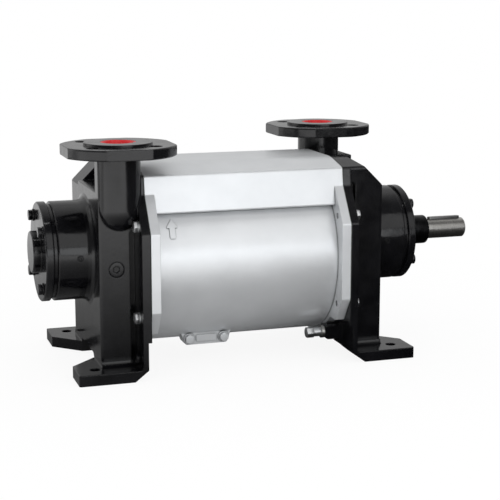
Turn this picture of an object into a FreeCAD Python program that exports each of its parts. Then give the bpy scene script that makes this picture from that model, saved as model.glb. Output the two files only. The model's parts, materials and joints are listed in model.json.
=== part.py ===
"""Two-stage liquid ring vacuum pump on feet, with flanged ports on top and a bare shaft end.

Millimetres. X runs along the shaft towards the drive end, Y to the back and Z up.
The origin is on the ground at the centre of the four foot holes.
The two black end casings are one pattern: the discharge casing is the suction casing
turned half a turn about Z.
"""
import FreeCAD
import Part
import math
import os

Vector = FreeCAD.Vector

# How far a cutting tool reaches past the face it cuts, and a fused piece into its neighbour
past = 1.0

# Shaft line and casing. Every rise or drop below is measured from the height of the shaft.
shaft_height = 152.5
eccentricity = 14.0
joint_half_length = 135.0
gasket_thickness = 0.6

# Central casing
barrel_radius = 113.0
casing_bore_radius = 100.0
joint_mouth_radius = 90.0
barrel_ring_radius = 118.0
flange_thickness = 12.0
flange_half_width = 127.4
flange_flat_half_height = 51.0
flange_foot_drop = 97.1
flange_foot_half_width = 105.8
flange_chamfer_rise = 83.5
flange_corner_radius = 3.0
shoulder_rise = 107.5
shoulder_half_width = 92.0
shoulder_radius = 4.0
crown_rise = 117.5
crown_half_width = 48.0
crown_radius = 120.0
step_rise = 58.5
step_half_width = 100.0
step_radius = 2.0
duct_wall = 9.0
duct_passage_half_width = 66.0
duct_passage_slope = 10.0
duct_passage_side_drop = 3.0
duct_passage_radius = 1.5
step_root_half_width = 70.0

# Drain lug on the central casing
lug_centre_x = -44.0
lug_length = 72.0
lug_depth = 24.0
lug_front = 56.0
lug_bottom_drop = 128.5
lug_top_drop = 108.5
lug_end_slope = 7.0
lug_plug_spacing = 48.0
lug_pad_length = 28.0
lug_pad_height = 9.0
lug_pad_proud = 1.2
lug_pad_drop = 1.5
lug_pad_radius = 1.0
lug_corner_radius = 4.0

# Arrow cast on the barrel
arrow_centre_x = -101.0
arrow_centre_rise = 39.0
arrow_length = 24.0
arrow_width = 16.0
arrow_stem_width = 7.5
arrow_head_length = 11.0
arrow_proud = 1.2
arrow_corner_radius = 0.8

# End casings
plate_thickness = 11.0
box_depth = 59.0
box_wall = 8.0
box_edge_radius = 4.0
arch_drop = 132.5
arch_half_width = 43.0
arch_radius = 8.0
roof_chamfer = 27.0
roof_chamfer_radius = 4.0
roof_tool_width = 12.0
chamber_radius = 6.0
channel_radius = 3.0
pocket_floor_rise = 86.5
pocket_inner_x = 168.0
pocket_block_width = 50.0
web_width = 18.0
web_chamfer = 9.0
channel_width = 8.0
channel_depth = 10.0
channel_top_rise = 86.5
plate_foot_drop = 102.5
seal_tube_radius = 46.0

# Feet
foot_outer_x = 230.0
foot_inner_x = 158.0
foot_undercut_height = 14.0
leg_fillet = 2.5
leg_face_x = 140.0
foot_thickness = 14.4
foot_pad_inner_y = 79.0
leg_inner_y = 84.0
foot_fillet = 6.0
foot_flare = 14.0
skirt_depth = 4.0
foot_corner_radius = 3.0
foot_hole_spacing_x = 410.0
foot_hole_spacing_y = 207.0
foot_hole_radius = 7.0

# Drain boss on each end casing
boss_length = 21.0
boss_outer_y = 90.0
boss_inner_y = 72.0
boss_bottom_drop = 127.5
boss_top_drop = 108.5
boss_chamfer = 5.0
boss_edge_radius = 1.5

# Port necks and flanges
port_x = 166.0
port_y = 85.0
port_face_rise = 151.5
port_flange_thickness = 13.5
port_raised_height = 3.0
port_flange_radius = 75.0
port_flat_distance = 69.2
port_raised_radius = 44.0
port_bore_radius = 20.0
port_bore_chamfer = 3.0
port_bolt_circle_radius = 55.0
port_bolt_hole_radius = 9.0
port_bolt_count = 4
neck_radius = 28.0
neck_belly_rise = 65.5
neck_flare = 4.0
flange_edge_cut = 1.2
raised_edge_cut = 0.6

# Bearing housings and covers
housing_radius = 66.0
housing_length = 47.0
housing_fillet = 9.0
housing_fillet_steps = 3
housing_root = 3.0
cover_gap = 5.0
cover_step_radius = 62.5
cover_thickness = 11.0
cover_edge = 1.2
cover_spigot_wall = 7.0
cap_radius = 28.0
cap_length = 10.5
cover_bolt_circle_radius = 55.0
cover_bolt_count = 4
cover_bolt_angle = 37.0

# Shaft
shaft_end_radius = 14.0
shaft_end_length = 60.0
shaft_tip_x = 360.0
sleeve_seat_radius = 17.0
sleeve_radius = 20.4
sleeve_start_x = 236.0
sleeve_end_cut = 1.5
sleeve_start_cut = 0.6
bearing_seat_radius = 20.0
seal_seat_radius = 22.0
impeller_seat_radius = 25.0
shaft_collar_radius = 30.0
nut_thread_length = 14.0
shaft_chamfer = 1.2

# Coupling key
key_width = 8.0
key_height = 7.0
key_length = 50.0
key_tip_distance = 5.0
key_seat_depth = 4.0
key_end_flat = 0.02

# Stages
interstage_x = -50.0
port_plate_thickness = 12.0
interstage_thickness = 12.0
plate_hub_gap = 1.0
liner_radius = 96.0
impeller_radius = 80.0
hub_radius = 33.0
hub_waist_radius = 38.0
blade_count = 12
blade_root_thickness = 5.0
blade_tip_thickness = 3.0
blade_sweep = 24.0
blade_bow = 5.0
blade_root_overlap = 3.0
disc_rim_gap = 6.0
hub_taper_share = 0.2
shroud_thickness = 4.0
impeller_nut_radius = 33.0
impeller_nut_width = 9.0
impeller_nut_slot_depth = 3.0
impeller_nut_slot_start = 2.0
impeller_seat_margin = 1.0
side_clearance = 0.4
running_clearance = 0.3
fit_clearance = 0.05
first_key_length = 100.0
second_key_length = 45.0

# Port windows, as angles from the top towards the back of the pump
window_inner_radius = 48.0
window_outer_radius = 68.0
suction_window_start = 35.0
suction_window_end = 125.0
discharge_window_start = -75.0
discharge_window_end = -30.0
valve_hole_radius = 6.0
valve_hole_count = 4
valve_circle_radius = 60.0
valve_thickness = 1.0
guard_thickness = 2.5
valve_half_width = 9.5
valve_screw_margin = 15.0
valve_end_margin = 22.0
valve_screw_radius = 3.0
valve_screw_head_radius = 5.4
valve_screw_head = 3.0
valve_screw_depth = 9.0

# Mechanical seals
seal_bore_radius = 34.0
seal_bore_depth = 46.0
seal_throat_radius = 26.0
seal_seat_width = 9.0
seal_face_width = 8.0
seal_face_inset = 2.0
seal_face_step = 1.5
seal_edge_cut = 0.5
bellows_pitch = 5.0
bellows_count = 3
bellows_radius = 30.5
bellows_root_radius = 26.0
seal_collar_width = 8.0
seal_collar_radius = 31.0

# Ball bearings
bearing_outer_radius = 45.0
bearing_width = 23.0
bearing_offset = 13.0
bearing_relief_radius = 38.0
bearing_relief_depth = 2.0
bearing_pitch_radius = 32.5
ball_radius = 7.2
ball_count = 8
ball_ring_count = 8
ball_side_count = 12
groove_clearance = 0.3
race_land = 4.5
cage_thickness = 4.0
cage_rim = 1.5
cage_tool_start = 10.0

# Retaining pieces
lock_washer_thickness = 2.0
lock_nut_radius = 27.0
lock_nut_width = 10.0
lock_nut_slot = 5.0
lock_nut_slot_depth = 2.5
slot_count = 4
circlip_radius = 23.5
circlip_width = 2.0
circlip_groove_depth = 1.5
circlip_gap_width = 9.0
lip_seal_radius = 31.0
lip_seal_width = 8.0
lip_seal_back_inset = 3.0
lip_seal_front_inset = 2.5
lip_seal_recess = 0.5
lip_flat = 0.4
sleeve_hole_gap = 1.5

# Bolts and plugs
bolt_radius = 4.0
bolt_hole_clearance = 0.5
bolt_head_width = 13.0
bolt_head_height = 5.5
bolt_washer_radius = 8.0
bolt_washer_thickness = 1.6
bolt_tip_inset = 2.0
casing_bolt_y = 108.0
casing_bolt_rise = 59.5
bolt_pocket_gap = 0.5
cover_bolt_depth = 16.0
plug_thread_radius = 5.0
plug_thread_length = 10.0
plug_collar_radius = 7.5
plug_collar_thickness = 2.0
plug_head_width = 11.0
plug_head_height = 4.5
plug_tip_gap = 1.0
socket_depth = 3.0
small_socket_depth = 2.0
drain_stem_radius = 6.2
drain_stem_length = 11.0
drain_head_width = 13.0
drain_head_height = 10.0
seal_ring_radius = 8.5
seal_ring_thickness = 4.0
panel_plug_x = 172.0
panel_plug_drop = 11.9
panel_plug_radius = 10.0
panel_plug_depth = 6.0
panel_plug_inset = 1.0
panel_socket_width = 8.0
leg_plug_y = 105.0
leg_plug_height = 24.5
housing_plug_x = 213.5
housing_plug_radius = 3.5
housing_plug_depth = 8.0
housing_plug_proud = 0.6
housing_socket_width = 3.6

# Transport plugs in the ports
cap_plug_inset = 1.2
cap_plug_depth = 18.0
cap_plug_wall = 1.6

# Places worked out from the sizes
casing_height = shaft_height - eccentricity
flange_foot_height = shaft_height - flange_foot_drop
flange_chamfer_top = shaft_height + flange_chamfer_rise
shoulder_height = shaft_height + shoulder_rise
crown_height = shaft_height + crown_rise
step_height = shaft_height + step_rise
lug_bottom = shaft_height - lug_bottom_drop
lug_top = shaft_height - lug_top_drop
arrow_centre_height = shaft_height + arrow_centre_rise
arch_height = shaft_height - arch_drop
pocket_floor = shaft_height + pocket_floor_rise
channel_top = shaft_height + channel_top_rise
plate_foot_height = shaft_height - plate_foot_drop
boss_bottom = shaft_height - boss_bottom_drop
boss_top = shaft_height - boss_top_drop
port_face_height = shaft_height + port_face_rise
neck_belly_height = shaft_height + neck_belly_rise
panel_plug_height = shaft_height - panel_plug_drop
face_x = joint_half_length + gasket_thickness
plate_back_x = face_x + plate_thickness
box_back_x = face_x + box_depth
housing_back_x = box_back_x + housing_length
cover_front_x = housing_back_x + cover_gap
cover_back_x = cover_front_x + cover_thickness
bearing_front_x = box_back_x + bearing_offset
bearing_back_x = bearing_front_x + bearing_width
seal_shoulder_x = face_x + seal_bore_depth
port_plate_x = joint_half_length - port_plate_thickness
interstage_right_x = interstage_x + interstage_thickness
flange_flat_top = casing_height + flange_flat_half_height
flange_flat_bottom = casing_height - flange_flat_half_height
sleeve_end_x = shaft_tip_x - shaft_end_length
port_flange_top = port_face_height - port_raised_height
port_flange_bottom = port_flange_top - port_flange_thickness
box_half_width = shoulder_half_width
pocket_block_y = box_half_width - pocket_block_width
web_inner_y = box_half_width - web_width
chamber_half_width = box_half_width - channel_depth - box_wall


def to_xy(u, v):
    """Place a plan outline on the ground plane."""
    return Vector(u, v, 0)


def to_xz(u, v):
    """Place a side outline on the plane through the shaft."""
    return Vector(u, 0, v)


def to_yz(u, v):
    """Place an end outline across the shaft."""
    return Vector(0, u, v)


def rounded_wire(corners, lift):
    """Closed wire through (u, v, radius) corners, each turned on its own radius.

    A negative radius breaks the corner with a straight cut, which starts that far from it.
    """
    edges = []
    last_point = None
    first_point = None
    for index, (u, v, radius) in enumerate(corners):
        here = lift(u, v)
        before = lift(*corners[index - 1][:2])
        after = lift(*corners[(index + 1) % len(corners)][:2])
        back = (before - here).normalize()
        ahead = (after - here).normalize()
        half_angle = back.getAngle(ahead) / 2
        reach = -radius
        if radius > 0:
            reach = radius / math.tan(half_angle)
            bisector = (back + ahead).normalize()
            middle = here + bisector * (radius / math.sin(half_angle) - radius)
        start = here + back * reach
        end = here + ahead * reach
        if last_point is not None and last_point.distanceToPoint(start) > 1e-6:
            edges.append(Part.LineSegment(last_point, start).toShape())
        if radius > 0:
            edges.append(Part.Arc(start, middle, end).toShape())
        if radius < 0:
            edges.append(Part.LineSegment(start, end).toShape())
        if first_point is None:
            first_point = start
        last_point = end
    if last_point.distanceToPoint(first_point) > 1e-6:
        edges.append(Part.LineSegment(last_point, first_point).toShape())
    return Part.Wire(edges)


def prism_x(corners, start, end):
    """Extrude a (y, z, radius) outline along X."""
    face = Part.Face(rounded_wire(corners, to_yz))
    face.translate(Vector(start, 0, 0))
    return face.extrude(Vector(end - start, 0, 0))


def prism_y(corners, start, end):
    """Extrude an (x, z, radius) outline along Y."""
    face = Part.Face(rounded_wire(corners, to_xz))
    face.translate(Vector(0, start, 0))
    return face.extrude(Vector(0, end - start, 0))


def prism_z(corners, start, end):
    """Extrude an (x, y, radius) outline along Z."""
    face = Part.Face(rounded_wire(corners, to_xy))
    face.translate(Vector(0, 0, start))
    return face.extrude(Vector(0, 0, end - start))


def block(x_range, y_range, z_range):
    """Box between two corners, given as three pairs."""
    low = Vector(min(x_range), min(y_range), min(z_range))
    size = [abs(pair[1] - pair[0]) for pair in (x_range, y_range, z_range)]
    return Part.makeBox(size[0], size[1], size[2], low)


def cylinder_x(radius, start, end, y=0.0, z=shaft_height):
    """Cylinder along X, on the shaft axis unless told otherwise."""
    return Part.makeCylinder(radius, end - start, Vector(start, y, z), Vector(1, 0, 0))


def hole_x(radius, start, end, y=0.0, z=shaft_height):
    """Cutting tool along X that reaches past both ends of the wall it opens."""
    return cylinder_x(radius, start - past, end + past, y, z)


def ring_x(outer, inner, start, end, z=shaft_height):
    """Plain ring along X."""
    return cylinder_x(outer, start, end, 0, z).cut(cylinder_x(inner, start, end, 0, z))


def turned_x(corners):
    """Solid turned about the shaft axis from an (x, r, radius) outline."""
    face = Part.Face(rounded_wire(corners, lambda x, r: Vector(x, 0, shaft_height + r)))
    return face.revolve(Vector(0, 0, shaft_height), Vector(1, 0, 0), 360)


def turned_z(corners, x, y):
    """Solid turned about an upright axis from an (r, z, radius) outline."""
    face = Part.Face(rounded_wire(corners, lambda r, z: Vector(x + r, y, z)))
    return face.revolve(Vector(x, y, 0), Vector(0, 0, 1), 360)


def hexagon(width, height, base, direction):
    """Hexagonal prism with its width across flats, standing on base."""
    corner_radius = width / math.sqrt(3)
    points = []
    for step in range(7):
        angle = math.radians(60 * step)
        points.append(Vector(corner_radius * math.cos(angle), corner_radius * math.sin(angle), 0))
    solid = Part.Face(Part.makePolygon(points)).extrude(Vector(0, 0, height))
    placed = FreeCAD.Placement(base, FreeCAD.Rotation(Vector(0, 0, 1), direction))
    solid.Placement = placed
    return solid


def rod(radius, length, base, direction):
    """Cylinder from base along any direction."""
    return Part.makeCylinder(radius, length, base, direction)


def other_end(shape):
    """The same piece at the other end of the pump, half a turn about Z."""
    turned = shape.copy()
    turned.rotate(Vector(0, 0, 0), Vector(0, 0, 1), 180)
    return turned


def around_shaft(shape, angle):
    """Copy of a shape turned about the shaft axis."""
    turned = shape.copy()
    turned.rotate(Vector(0, 0, shaft_height), Vector(1, 0, 0), angle)
    return turned


def mirrored_corners(half):
    """Complete an outline whose right half is given from bottom to top."""
    left = [(-u, v, radius) for u, v, radius in reversed(half)]
    return half + left


def panel_y(height):
    """Half width of the sloping duct panel at a height."""
    share = (height - step_height) / (shoulder_height - step_height)
    return step_half_width + share * (shoulder_half_width - step_half_width)


def roof_corners():
    """Shoulder and crown, shared by the central casing and the end casings."""
    return [
        (shoulder_half_width, shoulder_height, shoulder_radius),
        (crown_half_width, crown_height, crown_radius),
    ]


def flange_side_corners():
    """Vertical flat and upper chamfer shared by both flanges of a joint."""
    return [
        (flange_half_width, flange_flat_top, flange_corner_radius),
        (panel_y(flange_chamfer_top), flange_chamfer_top, flange_corner_radius),
    ]


def joint_flange(start, end):
    """Flange of the central casing, cut off level above the legs."""
    half = [
        (flange_foot_half_width, flange_foot_height, flange_corner_radius),
        (flange_half_width, flange_flat_bottom, flange_corner_radius),
    ]
    half += flange_side_corners() + roof_corners()
    ring = cylinder_x(barrel_ring_radius, start, end, 0, casing_height)
    return prism_x(mirrored_corners(half), start, end).fuse(ring)


def duct_passage(start, end):
    """Cored gas passage under the crown."""
    floor = casing_height + barrel_radius + gasket_thickness
    ceiling = crown_height - duct_wall
    half = [
        (duct_passage_half_width - duct_passage_slope, floor, duct_passage_radius),
        (duct_passage_half_width, ceiling - duct_passage_side_drop, duct_passage_radius),
        (crown_half_width, ceiling, duct_passage_radius),
    ]
    return prism_x(mirrored_corners(half), start, end)


def casing_bolt_places():
    """Y and Z of the four joint bolts."""
    places = []
    for side in (-1, 1):
        for rise in (-casing_bolt_rise, casing_bolt_rise):
            places.append((side * casing_bolt_y, casing_height + rise))
    return places


def lug_plug_x():
    """X of the two plugs in the drain lug."""
    return [lug_centre_x - lug_plug_spacing / 2, lug_centre_x + lug_plug_spacing / 2]


def lug_pad_centre():
    """Height of the pad and plugs on the drain lug."""
    return (lug_bottom + lug_top) / 2 - lug_pad_drop


def make_central_casing():
    """Silver barrel with its two joint flanges, top duct, drain lug and cast arrow."""
    inner_face = joint_half_length - flange_thickness
    barrel = cylinder_x(barrel_radius, -joint_half_length, joint_half_length, 0, casing_height)
    duct_half = [
        (step_root_half_width, step_height, 0),
        (step_half_width, step_height, step_radius),
    ]
    duct_half += roof_corners()
    duct = prism_x(mirrored_corners(duct_half), -joint_half_length, joint_half_length)
    body = barrel.fuse(duct)
    body = body.fuse(joint_flange(inner_face, joint_half_length))
    body = body.fuse(joint_flange(-joint_half_length, -inner_face))
    lug_corners = [
        (lug_centre_x - lug_length / 2, lug_top, 0),
        (lug_centre_x - lug_length / 2 + lug_end_slope, lug_bottom, lug_corner_radius),
        (lug_centre_x + lug_length / 2 - lug_end_slope, lug_bottom, lug_corner_radius),
        (lug_centre_x + lug_length / 2, lug_top, 0),
    ]
    body = body.fuse(prism_y(lug_corners, -lug_front, -lug_front + lug_depth))
    pad_middle = lug_pad_centre()
    pad_corners = [
        (lug_centre_x - lug_pad_length / 2, pad_middle - lug_pad_height / 2, lug_pad_radius),
        (lug_centre_x + lug_pad_length / 2, pad_middle - lug_pad_height / 2, lug_pad_radius),
        (lug_centre_x + lug_pad_length / 2, pad_middle + lug_pad_height / 2, lug_pad_radius),
        (lug_centre_x - lug_pad_length / 2, pad_middle + lug_pad_height / 2, lug_pad_radius),
    ]
    body = body.fuse(prism_y(pad_corners, -lug_front - lug_pad_proud, -lug_front + past))
    body = body.fuse(make_arrow())
    bore = cylinder_x(casing_bore_radius, interstage_x, joint_half_length, 0, casing_height)
    narrow = cylinder_x(liner_radius, -joint_half_length, interstage_x, 0, casing_height)
    recess = cylinder_x(casing_bore_radius, -joint_half_length, -port_plate_x, 0, casing_height)
    body = body.cut(bore).cut(narrow).cut(recess)
    body = body.cut(duct_passage(-joint_half_length, joint_half_length))
    for y, z in casing_bolt_places():
        hole = cylinder_x(bolt_radius + fit_clearance, -joint_half_length, joint_half_length, y, z)
        body = body.cut(hole)
    for x in lug_plug_x():
        base = Vector(x, -lug_front, pad_middle)
        body = body.cut(rod(plug_thread_radius + fit_clearance, plug_thread_length, base, Vector(0, 1, 0)))
    return body.removeSplitter()


def make_arrow():
    """Raised arrow that follows the barrel and points up, the way the front side turns."""
    tip = arrow_centre_height + arrow_length / 2
    neck = tip - arrow_head_length
    tail = arrow_centre_height - arrow_length / 2
    corners = [
        (arrow_centre_x, tip, arrow_corner_radius),
        (arrow_centre_x - arrow_width / 2, neck, arrow_corner_radius),
        (arrow_centre_x - arrow_stem_width / 2, neck, 0),
        (arrow_centre_x - arrow_stem_width / 2, tail, arrow_corner_radius),
        (arrow_centre_x + arrow_stem_width / 2, tail, arrow_corner_radius),
        (arrow_centre_x + arrow_stem_width / 2, neck, 0),
        (arrow_centre_x + arrow_width / 2, neck, arrow_corner_radius),
    ]
    column = prism_y(corners, -barrel_radius - arrow_proud, -step_half_width / 2)
    outer = barrel_radius + arrow_proud
    skin = ring_x(outer, barrel_radius - past, -joint_half_length, joint_half_length, casing_height)
    return column.common(skin)


def box_corners():
    """End outline of the casing box: roof, plain sides and the arch between the feet."""
    skirt_y = box_half_width + foot_fillet + past
    skirt_z = foot_thickness - skirt_depth
    half = [
        (arch_half_width, arch_height, arch_radius),
        (arch_half_width, skirt_z, 0),
        (skirt_y, skirt_z, 0),
        (skirt_y, foot_thickness, 0),
        (box_half_width, foot_thickness, foot_fillet),
    ]
    return mirrored_corners(half + roof_corners())


def make_foot(side):
    """One foot with its leg, undercut on the inner side, which leaves a wall where they meet."""
    box_y = arch_half_width
    plan = [
        (leg_face_x, side * flange_half_width, foot_corner_radius),
        (foot_outer_x, side * flange_half_width, foot_corner_radius),
        (foot_outer_x, side * foot_pad_inner_y, foot_corner_radius),
        (foot_outer_x - (foot_pad_inner_y - box_y), side * box_y, 0),
        (foot_outer_x - (foot_pad_inner_y - box_y) - foot_flare, side * box_y, 0),
        (leg_face_x, side * leg_inner_y, 0),
    ]
    foot = prism_z(plan, 0, foot_thickness)
    leg = block(
        (leg_face_x, plate_back_x),
        (side * leg_inner_y, side * flange_half_width),
        (foot_thickness / 2, plate_foot_height + past),
    )
    fillet_corners = [
        (plate_back_x - past, foot_thickness - past, 0),
        (plate_back_x + leg_fillet, foot_thickness - past, 0),
        (plate_back_x + leg_fillet, foot_thickness, 0),
        (plate_back_x, foot_thickness + leg_fillet, 0),
        (plate_back_x - past, foot_thickness + leg_fillet, 0),
    ]
    foot = foot.fuse(leg).fuse(prism_y(fillet_corners, side * leg_inner_y, side * flange_half_width))
    run = foot_inner_x - leg_face_x
    undercut = [
        (leg_face_x - run, 2 * foot_undercut_height, 0),
        (leg_face_x - run, -foot_undercut_height, 0),
        (foot_inner_x + run, -foot_undercut_height, 0),
    ]
    foot = foot.cut(prism_y(undercut, -2 * flange_half_width, 2 * flange_half_width))
    hole_base = Vector(foot_hole_spacing_x / 2, side * foot_hole_spacing_y / 2, -1)
    return foot.cut(rod(foot_hole_radius, foot_thickness + 2, hole_base, Vector(0, 0, 1)))


def make_port_neck():
    """Upright neck with a round belly and a four-hole flange cut flat on four sides."""
    neck_corners = [
        (0, neck_belly_height, 0),
        (neck_radius, neck_belly_height, 0),
        (neck_radius, port_flange_bottom, -neck_flare),
        (neck_radius + neck_flare + past, port_flange_bottom, 0),
        (neck_radius + neck_flare + past, port_flange_bottom + past, 0),
        (0, port_flange_bottom + past, 0),
    ]
    neck = turned_z(neck_corners, port_x, port_y)
    neck = neck.fuse(Part.makeSphere(neck_radius, Vector(port_x, port_y, neck_belly_height)))
    rim_corners = [
        (0, port_flange_bottom, 0),
        (port_flange_radius, port_flange_bottom, -flange_edge_cut),
        (port_flange_radius, port_flange_top, -flange_edge_cut),
        (port_raised_radius, port_flange_top, 0),
        (port_raised_radius, port_face_height, -raised_edge_cut),
        (0, port_face_height, 0),
    ]
    rim = turned_z(rim_corners, port_x, port_y)
    flats = block(
        (port_x - port_flat_distance, port_x + port_flat_distance),
        (port_y - port_flat_distance, port_y + port_flat_distance),
        (port_flange_bottom - past, port_face_height + past),
    )
    return neck.fuse(rim.common(flats))


def port_bore():
    """Bore from the raised face down to a pointed end inside the casing."""
    mouth = port_bore_radius + port_bore_chamfer
    low = neck_belly_height - neck_radius + box_wall
    corners = [
        (0, low, 0),
        (port_bore_radius, neck_belly_height, 0),
        (port_bore_radius, port_face_height - port_bore_chamfer, 0),
        (mouth, port_face_height, 0),
        (mouth, port_face_height + past, 0),
        (0, port_face_height + past, 0),
    ]
    return turned_z(corners, port_x, port_y)


def port_bolt_holes():
    """Flange bolt holes, straddling the centre lines."""
    holes = []
    for index in range(port_bolt_count):
        angle = math.radians((index + 0.5) * 360 / port_bolt_count)
        x = port_x + port_bolt_circle_radius * math.cos(angle)
        y = port_y + port_bolt_circle_radius * math.sin(angle)
        base = Vector(x, y, port_flange_bottom - past)
        holes.append(rod(port_bolt_hole_radius, port_flange_thickness + 2 * past, base, Vector(0, 0, 1)))
    return holes


def corner_tool(side, low, high):
    """Tool that rounds an upright outer edge of the box."""
    inner_x = box_back_x - box_edge_radius
    inner_y = side * (box_half_width - box_edge_radius)
    corner = block((inner_x, box_back_x + past), (inner_y, side * (box_half_width + past)), (low, high))
    return corner.cut(rod(box_edge_radius, high - low, Vector(inner_x, inner_y, low), Vector(0, 0, 1)))


def make_casing_box():
    """Hollow box of an end casing, before its neck and housing are added."""
    box = prism_x(box_corners(), plate_back_x - past, box_back_x)
    top = crown_height + past
    for side in (-1, 1):
        box = box.cut(corner_tool(side, foot_thickness + foot_fillet, top))
    chamfer_low = shoulder_height - roof_chamfer
    chamfer_corners = [
        (box_back_x - roof_chamfer, shoulder_height, roof_chamfer_radius),
        (box_back_x, chamfer_low, roof_chamfer_radius),
        (box_back_x + past, chamfer_low, 0),
        (box_back_x + past, top, 0),
        (box_back_x - roof_chamfer - roof_tool_width, top, 0),
    ]
    box = box.cut(prism_y(chamfer_corners, -box_half_width - past, -pocket_block_y))
    pocket = block(
        (pocket_inner_x, box_back_x + past),
        (-pocket_block_y, box_half_width + past),
        (pocket_floor, top),
    )
    return box.cut(pocket)


def casing_cavities():
    """Hollow of an end casing: chamber round the seal tube and the passage to the duct."""
    inner_x = box_back_x - box_wall
    chamber_corners = [
        (-chamber_half_width, arch_height + box_wall, chamber_radius),
        (chamber_half_width, arch_height + box_wall, chamber_radius),
        (chamber_half_width, pocket_floor - box_wall, chamber_radius),
        (-chamber_half_width, pocket_floor - box_wall, chamber_radius),
    ]
    chamber = prism_x(chamber_corners, plate_back_x - past, inner_x)
    mouth = cylinder_x(joint_mouth_radius, face_x - past, plate_back_x, 0, casing_height)
    width = (-chamber_half_width, chamber_half_width)
    slab = block((face_x - past, plate_back_x), width, (0, casing_height + casing_bore_radius))
    upper = duct_passage(face_x - past, pocket_inner_x - box_wall)
    link = block(
        (plate_back_x, pocket_inner_x - box_wall),
        (-crown_half_width, crown_half_width),
        (pocket_floor - 2 * box_wall, shoulder_height - duct_wall),
    )
    hollow = chamber.fuse(mouth.common(slab)).fuse(upper).fuse(link)
    tube = cylinder_x(seal_tube_radius, face_x - 2 * past, box_back_x)
    return hollow.cut(tube)


def make_end_casing():
    """Black casing of the suction end: flange plate, box, feet, port neck and bearing housing."""
    plate_half = [
        (boss_outer_y, arch_height, 0),
        (boss_outer_y, plate_foot_height, 0),
        (flange_half_width, plate_foot_height, 0),
    ]
    plate_half += flange_side_corners() + roof_corners()
    casing = prism_x(mirrored_corners(plate_half), face_x, plate_back_x)
    casing = casing.fuse(make_casing_box())
    for side in (-1, 1):
        casing = casing.fuse(make_foot(side))
    boss_corners = [
        (face_x - boss_length, boss_top, boss_edge_radius),
        (face_x - boss_length, boss_bottom, boss_chamfer),
        (plate_back_x, boss_bottom, 0),
        (plate_back_x, boss_top, 0),
    ]
    casing = casing.fuse(prism_y(boss_corners, -boss_outer_y, -boss_inner_y))
    web_height = port_flange_bottom + past - pocket_floor + box_wall
    web_corners = [
        (port_x, pocket_floor - box_wall, 0),
        (box_back_x, pocket_floor - box_wall, 0),
        (box_back_x, port_flange_bottom + past, min(web_chamfer, web_height / 2)),
        (port_x, port_flange_bottom + past, 0),
    ]
    casing = casing.fuse(prism_y(web_corners, web_inner_y, box_half_width))
    casing = casing.fuse(make_port_neck())
    flare = housing_radius + housing_fillet
    housing_corners = [(box_back_x - housing_root, 0, 0), (box_back_x - housing_root, flare, 0)]
    for step in range(housing_fillet_steps + 1):
        angle = math.radians(90 * step / housing_fillet_steps)
        x = box_back_x + housing_fillet * (1 - math.cos(angle))
        housing_corners.append((x, flare - housing_fillet * math.sin(angle), 0))
    housing_corners += [(housing_back_x, housing_radius, -cover_edge), (housing_back_x, 0, 0)]
    casing = casing.fuse(turned_x(housing_corners))
    casing = casing.cut(casing_cavities()).cut(port_bore())
    for hole in port_bolt_holes():
        casing = casing.cut(hole)
    for side in (-1, 1):
        channel_corners = [
            (plate_back_x, foot_thickness + foot_fillet, 0),
            (plate_back_x + channel_width, foot_thickness + foot_fillet, channel_radius),
            (plate_back_x + channel_width, channel_top, channel_width / 2),
            (plate_back_x, channel_top, 0),
        ]
        inner = side * (box_half_width - channel_depth)
        outer = side * (box_half_width + past)
        if side < 0:
            casing = casing.cut(prism_y(channel_corners, outer, inner))
        else:
            low_top = neck_belly_height - neck_radius
            short = [(x, min(z, low_top), radius) for x, z, radius in channel_corners]
            casing = casing.cut(prism_y(short, inner, outer))
    casing = casing.cut(cylinder_x(seal_bore_radius, face_x - past, seal_shoulder_x))
    casing = casing.cut(cylinder_x(seal_throat_radius, seal_shoulder_x - past, housing_back_x))
    relief_x = bearing_front_x - bearing_relief_depth
    casing = casing.cut(cylinder_x(bearing_relief_radius, relief_x, housing_back_x))
    seat_radius = bearing_outer_radius + fit_clearance
    casing = casing.cut(cylinder_x(seat_radius, bearing_front_x, housing_back_x + past))
    for y, z in casing_bolt_places():
        hole = hole_x(bolt_radius + bolt_hole_clearance, face_x, plate_back_x, y, z)
        casing = casing.cut(hole)
        seat = Vector(plate_back_x, y, z)
        pocket_radius = bolt_washer_radius + bolt_pocket_gap
        pocket_depth = bolt_washer_thickness + bolt_head_height + bolt_pocket_gap
        casing = casing.cut(rod(pocket_radius, pocket_depth, seat, Vector(1, 0, 0)))
    for y, z in cover_bolt_places():
        bottom = housing_back_x - cover_bolt_depth
        hole = cylinder_x(bolt_radius + fit_clearance, bottom, housing_back_x + past, y, z)
        casing = casing.cut(hole)
    casing = casing.cut(plug_seats())
    return casing.removeSplitter()


def cover_bolt_places():
    """Y and Z of the bolts round a bearing cover."""
    places = []
    for index in range(cover_bolt_count):
        angle = math.radians(cover_bolt_angle + index * 360 / cover_bolt_count)
        y = cover_bolt_circle_radius * math.cos(angle)
        z = shaft_height + cover_bolt_circle_radius * math.sin(angle)
        places.append((y, z))
    return places


def drain_boss_centre():
    """Centre of the drain boss's inward face."""
    middle_y = -(boss_outer_y + boss_inner_y) / 2
    return Vector(face_x - boss_length, middle_y, (boss_bottom + boss_top) / 2)


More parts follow.
